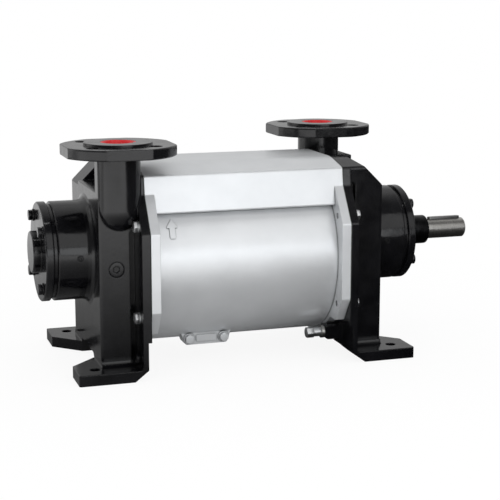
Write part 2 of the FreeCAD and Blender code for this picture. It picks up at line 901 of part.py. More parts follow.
def plug_seats():
    """Threaded seats of every plug in an end casing, as one cutting tool."""
    depth = plug_thread_length
    thread = plug_thread_radius + fit_clearance
    drain = rod(thread, depth, drain_boss_centre(), Vector(1, 0, 0))
    panel_base = Vector(panel_plug_x, box_half_width, panel_plug_height)
    panel = rod(panel_plug_radius + fit_clearance, panel_plug_depth, panel_base, Vector(0, -1, 0))
    leg_base = Vector(plate_back_x, leg_plug_y, leg_plug_height)
    leg_depth = plate_back_x - leg_face_x - plug_tip_gap
    leg = rod(bolt_radius + fit_clearance, leg_depth, leg_base, Vector(-1, 0, 0))
    tools = panel.fuse(leg).fuse(drain)
    for side in (-1, 1):
        base = Vector(housing_plug_x, side * (housing_radius + past), shaft_height)
        length = housing_plug_depth + past
        tools = tools.fuse(rod(housing_plug_radius + fit_clearance, length, base, Vector(0, -side, 0)))
    return tools


def make_gasket():
    """Joint gasket between the central casing and an end casing."""
    sheet = joint_flange(joint_half_length, face_x)
    sheet = sheet.cut(hole_x(joint_mouth_radius, joint_half_length, face_x, 0, casing_height))
    sheet = sheet.cut(duct_passage(joint_half_length - past, face_x + past))
    for y, z in casing_bolt_places():
        sheet = sheet.cut(hole_x(bolt_radius + bolt_hole_clearance, joint_half_length, face_x, y, z))
    return sheet.removeSplitter()


def on_circle(radius, angle):
    """Y and Z on a circle about the shaft, angle from the top towards the back."""
    turn = math.radians(angle)
    return radius * math.sin(turn), shaft_height + radius * math.cos(turn)


def arc_band(inner, outer, start_angle, end_angle, start_x, end_x):
    """Curved slab between two radii about the shaft, angles from the top towards the back."""
    middle_angle = (start_angle + end_angle) / 2
    rim = [to_yz(*on_circle(outer, angle)) for angle in (start_angle, middle_angle, end_angle)]
    root = [to_yz(*on_circle(inner, angle)) for angle in (end_angle, middle_angle, start_angle)]
    edges = [
        Part.Arc(*rim).toShape(),
        Part.LineSegment(rim[2], root[0]).toShape(),
        Part.Arc(*root).toShape(),
        Part.LineSegment(root[2], rim[0]).toShape(),
    ]
    face = Part.Face(Part.Wire(edges))
    face.translate(Vector(start_x, 0, 0))
    return face.extrude(Vector(end_x - start_x, 0, 0))


def window(start_angle, end_angle, start_x, end_x):
    """Curved port window through a plate."""
    return arc_band(window_inner_radius, window_outer_radius, start_angle, end_angle, start_x, end_x)


def make_suction_port_plate():
    """Plate between the suction casing and the first stage, with the suction window."""
    outer = casing_bore_radius - fit_clearance
    plate = cylinder_x(outer, port_plate_x, joint_half_length, 0, casing_height)
    plate = plate.cut(hole_x(impeller_nut_radius + plate_hub_gap, port_plate_x, joint_half_length))
    inlet = window(suction_window_start, suction_window_end, port_plate_x - past, joint_half_length + past)
    return plate.cut(inlet)


def make_interstage_plate():
    """Plate between the stages, with a window out of the first and one into the second."""
    outer = casing_bore_radius - fit_clearance
    plate = cylinder_x(outer, interstage_x, interstage_right_x, 0, casing_height)
    plate = plate.cut(hole_x(shaft_collar_radius + running_clearance, interstage_x, interstage_right_x))
    start = interstage_x - past
    end = interstage_right_x + past
    plate = plate.cut(window(suction_window_start, suction_window_end, start, end))
    return plate.cut(window(discharge_window_start, discharge_window_end, start, end))


def valve_angles():
    """Angles of the discharge valve holes, evenly spread in the discharge window."""
    span = discharge_window_end - discharge_window_start
    step = span / valve_hole_count
    return [discharge_window_start + step * (index + 0.5) for index in range(valve_hole_count)]


def make_discharge_port_plate():
    """Plate between the second stage and the discharge casing, with valve holes."""
    outer = casing_bore_radius - fit_clearance
    plate = cylinder_x(outer, -joint_half_length, -port_plate_x, 0, casing_height)
    plate = plate.cut(hole_x(impeller_nut_radius + plate_hub_gap, -joint_half_length, -port_plate_x))
    for angle in valve_angles():
        y, z = on_circle(valve_circle_radius, angle)
        plate = plate.cut(hole_x(valve_hole_radius, -joint_half_length, -port_plate_x, y, z))
    for angle in valve_screw_angles():
        y, z = on_circle(valve_circle_radius, angle)
        hole_end = -joint_half_length + valve_screw_depth + past
        hole_radius = valve_screw_radius + fit_clearance
        plate = plate.cut(cylinder_x(hole_radius, -joint_half_length - past, hole_end, y, z))
    return plate


def valve_screw_angles():
    """Angles of the two screws that hold the discharge valve."""
    return [discharge_window_start - valve_screw_margin, discharge_window_end + valve_screw_margin]


def valve_strip(thickness, base_x):
    """Curved strip over the valve holes, on the outer side of the discharge port plate."""
    start = discharge_window_start - valve_end_margin
    end = discharge_window_end + valve_end_margin
    inner = valve_circle_radius - valve_half_width
    outer = valve_circle_radius + valve_half_width
    strip = arc_band(inner, outer, start, end, base_x - thickness, base_x)
    for angle in valve_screw_angles():
        y, z = on_circle(valve_circle_radius, angle)
        strip = strip.cut(hole_x(valve_screw_radius + fit_clearance, base_x - thickness, base_x, y, z))
    return strip


def make_valve_screws():
    """Two screws through the valve guard and flap."""
    screws = []
    for angle in valve_screw_angles():
        y, z = on_circle(valve_circle_radius, angle)
        head_x = -joint_half_length - valve_thickness - guard_thickness
        shank = cylinder_x(valve_screw_radius, head_x, -joint_half_length + valve_screw_depth, y, z)
        head = cylinder_x(valve_screw_head_radius, head_x - valve_screw_head, head_x, y, z)
        screws.append(head.fuse(shank))
    return Part.makeCompound(screws)


def make_stage_ring():
    """Liner of the first stage, clamped between the interstage plate and the suction port plate."""
    outer = casing_bore_radius - fit_clearance
    return ring_x(outer, liner_radius, interstage_right_x, port_plate_x, casing_height)


def blade_face(angle):
    """Section of one forward-curved blade, from inside the hub to the rim."""
    root_radius = hub_radius - blade_root_overlap
    lines = []
    for offset in (-0.5, 0.5):
        root = Vector(0, root_radius, 0)
        root_shift = offset * blade_root_thickness
        tip_angle = math.radians(blade_sweep)
        tip = Vector(impeller_radius * math.sin(tip_angle), impeller_radius * math.cos(tip_angle), 0)
        along = (tip - root).normalize()
        across = Vector(-along.y, along.x, 0)
        start = root + across * root_shift
        end = tip + across * (offset * blade_tip_thickness)
        middle = (start + end) * 0.5 + across * blade_bow
        lines.append((start, middle, end))
    first, second = lines
    edges = [
        Part.Arc(*first).toShape(),
        Part.LineSegment(first[2], second[2]).toShape(),
        Part.Arc(second[2], second[1], second[0]).toShape(),
        Part.LineSegment(second[0], first[0]).toShape(),
    ]
    face = Part.Face(Part.Wire(edges))
    face.rotate(Vector(0, 0, 0), Vector(0, 0, 1), angle)
    return face


def make_impeller(start_x, end_x):
    """Impeller with curved blades on a waisted hub and a stiffening disc at mid length."""
    middle = (start_x + end_x) / 2
    taper = (end_x - start_x) * hub_taper_share
    hub = turned_x([
        (start_x, 0, 0),
        (start_x, hub_radius, 0),
        (middle - taper, hub_waist_radius, 0),
        (middle + taper, hub_waist_radius, 0),
        (end_x, hub_radius, 0),
        (end_x, 0, 0),
    ])
    disc_half = shroud_thickness / 2
    disc = cylinder_x(impeller_radius - disc_rim_gap, middle - disc_half, middle + disc_half)
    blades = []
    for index in range(blade_count):
        face = blade_face(index * 360 / blade_count)
        blade = face.extrude(Vector(0, 0, end_x - start_x))
        blade.Placement = FreeCAD.Placement(
            Vector(start_x, 0, shaft_height), FreeCAD.Rotation(Vector(1, 1, 1), 120)
        ).multiply(blade.Placement)
        blades.append(blade)
    rim = cylinder_x(impeller_radius, start_x, end_x)
    wheel = hub.fuse(disc).fuse([blade.common(rim) for blade in blades])
    wheel = wheel.cut(hole_x(impeller_seat_radius + fit_clearance, start_x, end_x))
    keyway_top = shaft_height + impeller_seat_radius + key_height - key_seat_depth + fit_clearance
    key_side = key_width / 2
    keyway = block((start_x - past, end_x + past), (-key_side, key_side), (shaft_height, keyway_top))
    return wheel.cut(keyway).removeSplitter()


def hub_key(centre_x, length):
    """Parallel key between the shaft and an impeller hub."""
    low = shaft_height + impeller_seat_radius - key_seat_depth
    half = length / 2
    radius = (key_width - key_end_flat) / 2
    corners = [
        (centre_x - half, -key_width / 2, radius),
        (centre_x + half, -key_width / 2, radius),
        (centre_x + half, key_width / 2, radius),
        (centre_x - half, key_width / 2, radius),
    ]
    return prism_z(corners, low, low + key_height)


def first_impeller_range():
    """X range of the first-stage impeller."""
    return interstage_right_x + side_clearance, port_plate_x - side_clearance


def second_impeller_range():
    """X range of the second-stage impeller."""
    return -port_plate_x + side_clearance, interstage_x - side_clearance


def middle_of(pair):
    """Middle of a range."""
    return (pair[0] + pair[1]) / 2


def coupling_key_corners():
    """Plan outline of the round-ended key at the drive end."""
    end = shaft_tip_x - key_tip_distance
    start = end - key_length
    radius = (key_width - key_end_flat) / 2
    return [
        (start, -key_width / 2, radius),
        (end, -key_width / 2, radius),
        (end, key_width / 2, radius),
        (start, key_width / 2, radius),
    ]


def make_coupling_key():
    """Key for the coupling, standing proud of the shaft end."""
    low = shaft_height + shaft_end_radius - key_seat_depth
    return prism_z(coupling_key_corners(), low, low + key_height)


def make_shaft():
    """Stepped shaft through both stages, seals and bearings."""
    nut_x = bearing_back_x + nut_thread_length
    collar_left = interstage_x - side_clearance
    collar_right = interstage_right_x + side_clearance
    impeller_end = port_plate_x + impeller_nut_width + impeller_seat_margin
    corners = [
        (-nut_x, 0, 0),
        (-nut_x, bearing_seat_radius, -shaft_chamfer),
        (-bearing_front_x, bearing_seat_radius, 0),
        (-bearing_front_x, seal_seat_radius, 0),
        (-impeller_end, seal_seat_radius, 0),
        (-impeller_end, impeller_seat_radius, -shaft_chamfer),
        (collar_left, impeller_seat_radius, 0),
        (collar_left, shaft_collar_radius, 0),
        (collar_right, shaft_collar_radius, 0),
        (collar_right, impeller_seat_radius, 0),
        (impeller_end, impeller_seat_radius, -shaft_chamfer),
        (impeller_end, seal_seat_radius, 0),
        (bearing_front_x, seal_seat_radius, 0),
        (bearing_front_x, bearing_seat_radius, 0),
        (sleeve_start_x, bearing_seat_radius, 0),
        (sleeve_start_x, sleeve_seat_radius, 0),
        (sleeve_end_x, sleeve_seat_radius, 0),
        (sleeve_end_x, shaft_end_radius, 0),
        (shaft_tip_x, shaft_end_radius, -shaft_chamfer),
        (shaft_tip_x, 0, 0),
    ]
    shaft = turned_x(corners)
    groove = ring_x(
        bearing_seat_radius + past,
        bearing_seat_radius - circlip_groove_depth,
        bearing_back_x,
        bearing_back_x + circlip_width,
    )
    shaft = shaft.cut(groove)
    key_low = shaft_height + shaft_end_radius - key_seat_depth
    shaft = shaft.cut(prism_z(coupling_key_corners(), key_low, key_low + 2 * key_height))
    shaft = shaft.cut(hub_key(middle_of(first_impeller_range()), first_key_length))
    return shaft.cut(hub_key(middle_of(second_impeller_range()), second_key_length))


def make_impeller_nuts():
    """Slotted nuts that clamp the impellers against the shaft collar."""
    start = port_plate_x - side_clearance
    inner = impeller_seat_radius + fit_clearance
    nut = ring_x(impeller_nut_radius, inner, start, start + impeller_nut_width)
    slot_floor = shaft_height + impeller_nut_radius - impeller_nut_slot_depth
    for index in range(slot_count):
        slot = block(
            (start + impeller_nut_slot_start, start + impeller_nut_width + past),
            (-lock_nut_slot / 2, lock_nut_slot / 2),
            (slot_floor, shaft_height + impeller_nut_radius + past),
        )
        nut = nut.cut(around_shaft(slot, index * 360 / slot_count))
    return Part.makeCompound([nut, other_end(nut)])


def make_drive_end_sleeve():
    """Black sleeve over the shaft where it leaves the cover."""
    return turned_x([
        (sleeve_start_x, sleeve_seat_radius + fit_clearance, 0),
        (sleeve_start_x, sleeve_radius, -sleeve_start_cut),
        (sleeve_end_x, sleeve_radius, -sleeve_end_cut),
        (sleeve_end_x, sleeve_seat_radius + fit_clearance, 0),
    ])


def make_seal_seat():
    """Stationary seal ring against the shoulder of the seal bore."""
    return ring_x(
        seal_bore_radius - fit_clearance,
        seal_throat_radius,
        seal_shoulder_x - seal_seat_width,
        seal_shoulder_x,
    )


def seal_face_start():
    """X where the rotating seal ring meets its bellows."""
    return seal_shoulder_x - seal_seat_width - running_clearance - seal_face_width


def make_seal_ring():
    """Rotating seal ring with a narrow raised face."""
    start = seal_face_start()
    end = start + seal_face_width
    inner = seal_seat_radius + fit_clearance
    outer = bellows_radius
    return turned_x([
        (start, inner, 0),
        (start, outer, -seal_edge_cut),
        (end - seal_face_inset, outer, 0),
        (end - seal_face_inset, outer - seal_face_step, 0),
        (end, outer - seal_face_step, 0),
        (end, inner, 0),
    ])


def make_seal_bellows():
    """Corrugated bellows that presses the rotating ring on its seat."""
    end = seal_face_start()
    start = end - bellows_pitch * bellows_count
    inner = seal_seat_radius + fit_clearance
    corners = [(start, inner, 0), (start, bellows_root_radius, 0)]
    for index in range(bellows_count):
        low = start + bellows_pitch * index
        corners.append((low + bellows_pitch / 2, bellows_radius, 0))
        if index < bellows_count - 1:
            corners.append((low + bellows_pitch, bellows_root_radius, 0))
    corners += [(end, bellows_root_radius, 0), (end, inner, 0)]
    return turned_x(corners)


def make_seal_collar():
    """Driving collar behind the bellows."""
    end = seal_face_start() - bellows_pitch * bellows_count
    return ring_x(seal_collar_radius, seal_seat_radius + fit_clearance, end - seal_collar_width, end)


def ball_track():
    """Ring of six flats that both races are grooved by."""
    middle = (bearing_front_x + bearing_back_x) / 2
    reach = ball_radius + groove_clearance
    floor = reach / math.sqrt(3)
    wide = reach * 2 / math.sqrt(3)
    return turned_x([
        (middle - floor, bearing_pitch_radius - reach, 0),
        (middle + floor, bearing_pitch_radius - reach, 0),
        (middle + wide, bearing_pitch_radius, 0),
        (middle + floor, bearing_pitch_radius + reach, 0),
        (middle - floor, bearing_pitch_radius + reach, 0),
        (middle - wide, bearing_pitch_radius, 0),
    ])


def make_bearing_outer():
    """Outer race."""
    race = ring_x(bearing_outer_radius, bearing_pitch_radius + race_land, bearing_front_x, bearing_back_x)
    return race.cut(ball_track())


def make_bearing_inner():
    """Inner race."""
    inner = bearing_seat_radius + fit_clearance
    race = ring_x(bearing_pitch_radius - race_land, inner, bearing_front_x, bearing_back_x)
    return race.cut(ball_track())


def ball_centres():
    """Centres of the balls on the pitch circle."""
    x = (bearing_front_x + bearing_back_x) / 2
    centres = []
    for index in range(ball_count):
        angle = 2 * math.pi * index / ball_count
        y = bearing_pitch_radius * math.cos(angle)
        z = shaft_height + bearing_pitch_radius * math.sin(angle)
        centres.append(Vector(x, y, z))
    return centres


def make_ball(centre):
    """Ball with flat facets, whose corners all lie on the true radius."""
    outline = []
    for step in range(ball_ring_count + 1):
        tilt = math.pi * step / ball_ring_count
        outline.append((ball_radius * math.sin(tilt), ball_radius * math.cos(tilt)))
    rings = []
    for reach, along in outline:
        turns = [2 * math.pi * side / ball_side_count for side in range(ball_side_count)]
        rings.append([centre + Vector(reach * math.cos(turn), along, reach * math.sin(turn)) for turn in turns])
    faces = []
    for near, far in zip(rings, rings[1:]):
        for side in range(ball_side_count):
            loop = [near[side - 1], near[side], far[side], far[side - 1]]
            apart = [point for index, point in enumerate(loop) if point.distanceToPoint(loop[index - 1]) > 1e-6]
            faces.append(Part.Face(Part.makePolygon(apart + apart[:1])))
    return Part.makeSolid(Part.makeShell(faces))


def make_bearing_balls():
    """Ring of balls, faceted because sixteen round ones would outweigh the casings in facets."""
    ball = make_ball(ball_centres()[0])
    return Part.makeCompound([around_shaft(ball, index * 360 / ball_count) for index in range(ball_count)])


def make_bearing_cage():
    """Cage with one round pocket for each ball."""
    middle = (bearing_front_x + bearing_back_x) / 2
    pocket_radius = ball_radius + groove_clearance
    half_width = pocket_radius + cage_rim
    outer = bearing_pitch_radius + cage_thickness / 2
    inner = bearing_pitch_radius - cage_thickness / 2
    cage = ring_x(outer, inner, middle - half_width, middle + half_width)
    axis_point = Vector(middle, 0, shaft_height)
    for centre in ball_centres():
        outward = (centre - axis_point).normalize()
        base = axis_point + outward * cage_tool_start
        cage = cage.cut(rod(pocket_radius, bearing_pitch_radius, base, outward))
    return cage


def make_lock_nut():
    """Slotted nut behind the free-end bearing."""
    start = bearing_back_x + lock_washer_thickness
    nut = ring_x(lock_nut_radius, bearing_seat_radius + fit_clearance, start, start + lock_nut_width)
    slot_floor = shaft_height + lock_nut_radius - lock_nut_slot_depth
    for index in range(slot_count):
        slot = block(
            (start - past, start + lock_nut_width + past),
            (-lock_nut_slot / 2, lock_nut_slot / 2),
            (slot_floor, shaft_height + lock_nut_radius + past),
        )
        nut = nut.cut(around_shaft(slot, index * 360 / slot_count))
    return other_end(nut)


def make_lock_washer():
    """Washer between the free-end bearing and its nut."""
    washer = ring_x(
        bearing_pitch_radius - race_land,
        bearing_seat_radius + fit_clearance,
        bearing_back_x,
        bearing_back_x + lock_washer_thickness,
    )
    return other_end(washer)


def make_circlip():
    """Open retaining ring in the shaft groove at the drive end."""
    inner = bearing_seat_radius - circlip_groove_depth + fit_clearance
    clip = ring_x(circlip_radius, inner, bearing_back_x, bearing_back_x + circlip_width)
    gap = block(
        (bearing_back_x - past, bearing_back_x + circlip_width + past),
        (-circlip_gap_width / 2, circlip_gap_width / 2),
        (shaft_height - circlip_radius - past, shaft_height),
    )
    return clip.cut(gap)


def cover_blank():
    """Rim, neck and spigot of a bearing cover, still solid inside."""
    spigot = bearing_outer_radius - fit_clearance
    return turned_x([
        (bearing_back_x, 0, 0),
        (bearing_back_x, spigot, 0),
        (housing_back_x, spigot, 0),
        (housing_back_x, cover_step_radius, 0),
        (cover_front_x, cover_step_radius, 0),
        (cover_front_x, housing_radius, -cover_edge),
        (cover_back_x, housing_radius, -cover_edge),
        (cover_back_x, 0, 0),
    ])


def drill_cover(cover):
    """Bolt holes through a cover."""
    for y, z in cover_bolt_places():
        cover = cover.cut(hole_x(bolt_radius + bolt_hole_clearance, housing_back_x, cover_back_x, y, z))
    return cover


def make_drive_end_cover():
    """Open cover round the sleeve, with a seat for the lip seal."""
    pocket = bearing_outer_radius - cover_spigot_wall
    seal_front = cover_back_x - lip_seal_width
    cover = cover_blank()
    cover = cover.cut(cylinder_x(pocket, bearing_back_x - past, housing_back_x))
    cover = cover.cut(cylinder_x(sleeve_radius + sleeve_hole_gap, bearing_back_x, cover_back_x + past))
    cover = cover.cut(cylinder_x(lip_seal_radius, seal_front, cover_back_x + past))
    return drill_cover(cover)


def make_lip_seal():
    """Lip seal in the drive-end cover."""
    start = cover_back_x - lip_seal_width
    front = cover_back_x - lip_seal_recess
    inner = sleeve_radius + running_clearance
    outer = lip_seal_radius - fit_clearance
    return turned_x([
        (start, inner + lip_seal_back_inset, 0),
        (start, outer, 0),
        (front, outer, 0),
        (front, inner + lip_seal_front_inset, 0),
        (start + lip_seal_width / 2, inner, -lip_flat),
    ])


def make_free_end_cover():
    """Closed cover with a round cap over the shaft end."""
    pocket = bearing_outer_radius - cover_spigot_wall
    cover = cover_blank()
    cap = turned_x([
        (cover_back_x - past, 0, 0),
        (cover_back_x - past, cap_radius, 0),
        (cover_back_x + cap_length, cap_radius, -cover_edge),
        (cover_back_x + cap_length, 0, 0),
    ])
    cover = cover.fuse(cap)
    cover = cover.cut(cylinder_x(pocket, bearing_back_x - past, housing_back_x + cover_gap))
    return other_end(drill_cover(cover))


def hex_bolt(base, direction, shank_length):
    """Hexagon bolt with its washer; base is the seat and direction points out of it."""
    inward = direction * -1
    washer = rod(bolt_washer_radius, bolt_washer_thickness, base, direction)
    head = hexagon(bolt_head_width, bolt_head_height, base + direction * bolt_washer_thickness, direction)
    shank = rod(bolt_radius, shank_length, base, inward)
    return washer.fuse(head).fuse(shank)


def make_casing_bolts():
    """Joint bolts of the suction casing."""
    bolts = []
    length = plate_thickness + gasket_thickness + flange_thickness - bolt_tip_inset
    for y, z in casing_bolt_places():
        bolts.append(hex_bolt(Vector(plate_back_x, y, z), Vector(1, 0, 0), length))
    return Part.makeCompound(bolts)


def make_cover_bolts():
    """Bolts of the drive-end cover."""
    bolts = []
    length = cover_back_x - housing_back_x + cover_bolt_depth - bolt_tip_inset
    for y, z in cover_bolt_places():
        bolts.append(hex_bolt(Vector(cover_back_x, y, z), Vector(1, 0, 0), length))
    return Part.makeCompound(bolts)


def make_lug_plugs():
    """Two painted hexagon plugs in the drain lug."""
    plugs = []
    middle = lug_pad_centre()
    out = Vector(0, -1, 0)
    for x in lug_plug_x():
        base = Vector(x, -lug_front, middle)
        plug = rod(plug_collar_radius, plug_collar_thickness, base, out)
        head_base = base + out * plug_collar_thickness
        plug = plug.fuse(hexagon(plug_head_width, plug_head_height, head_base, out))
        plugs.append(plug.fuse(rod(plug_thread_radius, plug_thread_length - plug_tip_gap, base, out * -1)))
    return Part.makeCompound(plugs)


def make_drain_ring():
    """Sealing ring under the drain plug."""
    base = drain_boss_centre()
    out = Vector(-1, 0, 0)
    ring = rod(seal_ring_radius, seal_ring_thickness, base, out)
    return ring.cut(rod(plug_thread_radius + fit_clearance, seal_ring_thickness, base, out))


def make_drain_plug():
    """Zinc drain plug with a long stem, pointing inward under the barrel."""
    out = Vector(-1, 0, 0)
    seat = drain_boss_centre()
    face = seat + out * seal_ring_thickness
    thread_length = seal_ring_thickness + plug_thread_length - plug_tip_gap
    plug = rod(drain_stem_radius, drain_stem_length, face, out)
    plug = plug.fuse(hexagon(drain_head_width, drain_head_height, face + out * drain_stem_length, out))
    return plug.fuse(rod(plug_thread_radius, thread_length, face, out * -1))


def make_panel_plug():
    """Socket plug in the panel below the port neck."""
    out = Vector(0, 1, 0)
    seat = Vector(panel_plug_x, box_half_width - panel_plug_depth, panel_plug_height)
    plug = rod(panel_plug_radius, panel_plug_depth - panel_plug_inset, seat, out)
    floor = seat + out * (panel_plug_depth - panel_plug_inset - socket_depth)
    return plug.cut(hexagon(panel_socket_width, socket_depth + past, floor, out))


def make_leg_plug():
    """Painted hexagon plug low in the bolt channel."""
    out = Vector(1, 0, 0)
    base = Vector(plate_back_x, leg_plug_y, leg_plug_height)
    plug = hexagon(bolt_head_width, bolt_head_height, base, out)
    return plug.fuse(rod(bolt_radius, plate_back_x - leg_face_x - 2 * plug_tip_gap, base, out * -1))


def make_housing_plugs():
    """Small socket screws that close the grease holes of a bearing housing."""
    plugs = []
    for side in (-1, 1):
        out = Vector(0, side, 0)
        seat = Vector(housing_plug_x, side * (housing_radius - housing_plug_depth), shaft_height)
        length = housing_plug_depth + housing_plug_proud
        plug = rod(housing_plug_radius, length, seat, out)
        floor = seat + out * (length - small_socket_depth)
        plugs.append(plug.cut(hexagon(housing_socket_width, small_socket_depth + past, floor, out)))
    return Part.makeCompound(plugs)


def make_port_plug():
    """Plastic transport plug that drops into a port mouth and rests on its chamfer."""
    top = port_face_height - cap_plug_inset
    clearance = running_clearance
    outer_top = port_bore_radius + port_bore_chamfer - cap_plug_inset - clearance
    wall_radius = port_bore_radius - clearance
    low_cone = port_face_height - port_bore_chamfer - clearance
    bottom = top - cap_plug_depth
    inner = wall_radius - cap_plug_wall
    dish = top - cap_plug_wall
    corners = [
        (0, dish, 0),
        (outer_top - cap_plug_wall, dish, 0),
        (outer_top - cap_plug_wall, top, 0),
        (outer_top, top, 0),
        (wall_radius, low_cone, 0),
        (wall_radius, bottom, 0),
        (inner, bottom, 0),
        (inner, dish - cap_plug_wall, 0),
        (0, dish - cap_plug_wall, 0),
    ]
    return turned_z(corners, port_x, port_y)


suction_casing = make_end_casing()
suction_gasket = make_gasket()
casing_bolts = make_casing_bolts()
cover_bolts = make_cover_bolts()
housing_plugs = make_housing_plugs()
drain_plug = make_drain_plug()
drain_ring = make_drain_ring()
panel_plug = make_panel_plug()
leg_plug = make_leg_plug()
port_plug = make_port_plug()
seal_seat = make_seal_seat()
seal_ring = make_seal_ring()
seal_bellows = make_seal_bellows()
seal_collar = make_seal_collar()
bearing_outer = make_bearing_outer()
bearing_inner = make_bearing_inner()
bearing_balls = make_bearing_balls()
bearing_cage = make_bearing_cage()
first_range = first_impeller_range()
second_range = second_impeller_range()

pieces = {
    "central_casing": make_central_casing(),
    "suction_casing": suction_casing,
    "discharge_casing": other_end(suction_casing),
    "suction_gasket": suction_gasket,
    "discharge_gasket": other_end(suction_gasket),
    "suction_port_plate": make_suction_port_plate(),
    "interstage_plate": make_interstage_plate(),
    "discharge_port_plate": make_discharge_port_plate(),
    "stage_ring": make_stage_ring(),
    "discharge_valve_flap": valve_strip(valve_thickness, -joint_half_length),
    "valve_guard": valve_strip(guard_thickness, -joint_half_length - valve_thickness),
    "valve_screws": make_valve_screws(),
    "first_stage_impeller": make_impeller(*first_range),
    "second_stage_impeller": make_impeller(*second_range),
    "first_stage_key": hub_key(middle_of(first_range), first_key_length),
    "second_stage_key": hub_key(middle_of(second_range), second_key_length),
    "impeller_nuts": make_impeller_nuts(),
    "shaft": make_shaft(),
    "coupling_key": make_coupling_key(),
    "drive_end_sleeve": make_drive_end_sleeve(),
    "seal_seat_drive_end": seal_seat,
    "seal_ring_drive_end": seal_ring,
    "seal_bellows_drive_end": seal_bellows,
    "seal_collar_drive_end": seal_collar,
    "seal_seat_free_end": other_end(seal_seat),
    "seal_ring_free_end": other_end(seal_ring),
    "seal_bellows_free_end": other_end(seal_bellows),
    "seal_collar_free_end": other_end(seal_collar),
    "bearing_outer_drive_end": bearing_outer,
    "bearing_inner_drive_end": bearing_inner,
    "bearing_balls_drive_end": bearing_balls,
    "bearing_cage_drive_end": bearing_cage,
    "bearing_outer_free_end": other_end(bearing_outer),
    "bearing_inner_free_end": other_end(bearing_inner),
    "bearing_balls_free_end": other_end(bearing_balls),
    "bearing_cage_free_end": other_end(bearing_cage),
    "lock_washer": make_lock_washer(),
    "lock_nut": make_lock_nut(),
    "bearing_circlip": make_circlip(),
    "lip_seal": make_lip_seal(),
    "drive_end_cover": make_drive_end_cover(),
    "free_end_cover": make_free_end_cover(),
    "cover_bolts_drive_end": cover_bolts,
    "cover_bolts_free_end": other_end(cover_bolts),
    "suction_casing_bolts": casing_bolts,
    "discharge_casing_bolts": other_end(casing_bolts),
    "lug_plugs": make_lug_plugs(),
    "suction_drain_ring": drain_ring,
    "suction_drain_plug": drain_plug,
    "discharge_drain_ring": other_end(drain_ring),
    "discharge_drain_plug": other_end(drain_plug),
    "panel_plugs": Part.makeCompound([panel_plug, other_end(panel_plug)]),
    "leg_plugs": Part.makeCompound([leg_plug, other_end(leg_plug)]),
    "housing_plugs_drive_end": housing_plugs,
    "housing_plugs_free_end": other_end(housing_plugs),
    "suction_port_plug": port_plug,
    "discharge_port_plug": other_end(port_plug),
}

os.makedirs("parts", exist_ok=True)
for name, shape in pieces.items():
    shape.exportStep("parts/" + name + ".step")
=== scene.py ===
# %% [markdown]
# # Dressing a liquid ring vacuum pump
#
# The pump has two black cast end casings, a silver barrel between them, two upright flanged ports and a
# bare shaft end. Its solids are already built to size, so this lesson adds what a photograph shows
# besides: paint over rough castings, ground and plated steel, fasteners with turned corners, and the
# light that makes metal readable.
#
# The first cell loads the solids as a frame.

# %% Load the frame
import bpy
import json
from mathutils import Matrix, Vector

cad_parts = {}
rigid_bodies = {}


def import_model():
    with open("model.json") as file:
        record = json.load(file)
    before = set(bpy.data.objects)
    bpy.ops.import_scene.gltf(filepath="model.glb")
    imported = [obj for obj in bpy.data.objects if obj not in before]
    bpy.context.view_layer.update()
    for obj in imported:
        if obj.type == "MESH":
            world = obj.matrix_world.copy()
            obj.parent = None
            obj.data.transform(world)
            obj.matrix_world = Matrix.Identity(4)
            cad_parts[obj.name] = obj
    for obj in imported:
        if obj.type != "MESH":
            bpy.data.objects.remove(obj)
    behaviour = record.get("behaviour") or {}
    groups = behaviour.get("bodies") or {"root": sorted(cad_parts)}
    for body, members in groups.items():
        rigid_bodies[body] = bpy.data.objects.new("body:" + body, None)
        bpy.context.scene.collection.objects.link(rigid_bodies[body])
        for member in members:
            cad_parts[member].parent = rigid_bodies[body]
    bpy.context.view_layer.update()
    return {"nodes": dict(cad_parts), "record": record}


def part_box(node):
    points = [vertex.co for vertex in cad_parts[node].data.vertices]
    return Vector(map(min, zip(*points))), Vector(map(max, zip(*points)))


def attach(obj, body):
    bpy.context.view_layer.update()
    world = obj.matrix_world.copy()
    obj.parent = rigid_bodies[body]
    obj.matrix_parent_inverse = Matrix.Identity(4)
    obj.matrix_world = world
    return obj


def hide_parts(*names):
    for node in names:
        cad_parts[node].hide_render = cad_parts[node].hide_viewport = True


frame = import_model()

# %% [markdown]
# Sizes are easiest to compare with a drawing in millimetres, while Blender works in metres. One value
# for a millimetre keeps both readable. The camera and the view settings come next, because every finish
# is judged through them: Standard shows a colour as it is written, where a film look would change it.

# %% Units and view
import json
import math

import bpy
from mathutils import Matrix, Vector

mm = 0.001
scene = bpy.context.scene
scene.view_settings.view_transform = "Standard"
print("view transform:", scene.view_settings.view_transform)

# %% [markdown]
# The photograph was taken from the front left, a little above the pump, with a long lens. A short lens
# close by would also fill the picture, but it would spread the two ports apart. The place, the two
# angles and the lens were found by matching known corners of the pump.

# %% Camera
camera_place = (-0.5209, -1.7320, 0.4924)
camera_down = math.radians(11.0524)
camera_turn = math.radians(-17.8257)
camera_lens = 96.12
film_width = 36.0

camera_data = bpy.data.cameras.new("photo_camera")
camera_data.lens = camera_lens
camera_data.sensor_width = film_width
camera = bpy.data.objects.new("photo_camera", camera_data)
camera.location = camera_place
camera.rotation_euler = (math.radians(90) - camera_down, 0, camera_turn)
scene.collection.objects.link(camera)
scene.camera = camera
print("camera lens:", camera_data.lens, "mm")

# %% [markdown]
# ## Tools for finishes
#
# Every finish here is a small graph of nodes that starts from Object coordinates. All pieces keep their
# object at the origin, so these coordinates are real metres on the pump, and a grain keeps its size on
# every piece. Generated coordinates would stretch with each piece, and an unwrap isn't needed for paint
# and metal.
#
# These helpers add a node and give the building blocks used throughout: a noise at a real size, a ramp
# that maps it to a range, a colour between two others, and a bump.

# %% Node helpers
def add_node(tree, kind, **inputs):
    """New node with some of its sockets set; an underscore stands for a space."""
    made = tree.nodes.new(kind)
    for name, value in inputs.items():
        made.inputs[name.replace("_", " ")].default_value = value
    return made


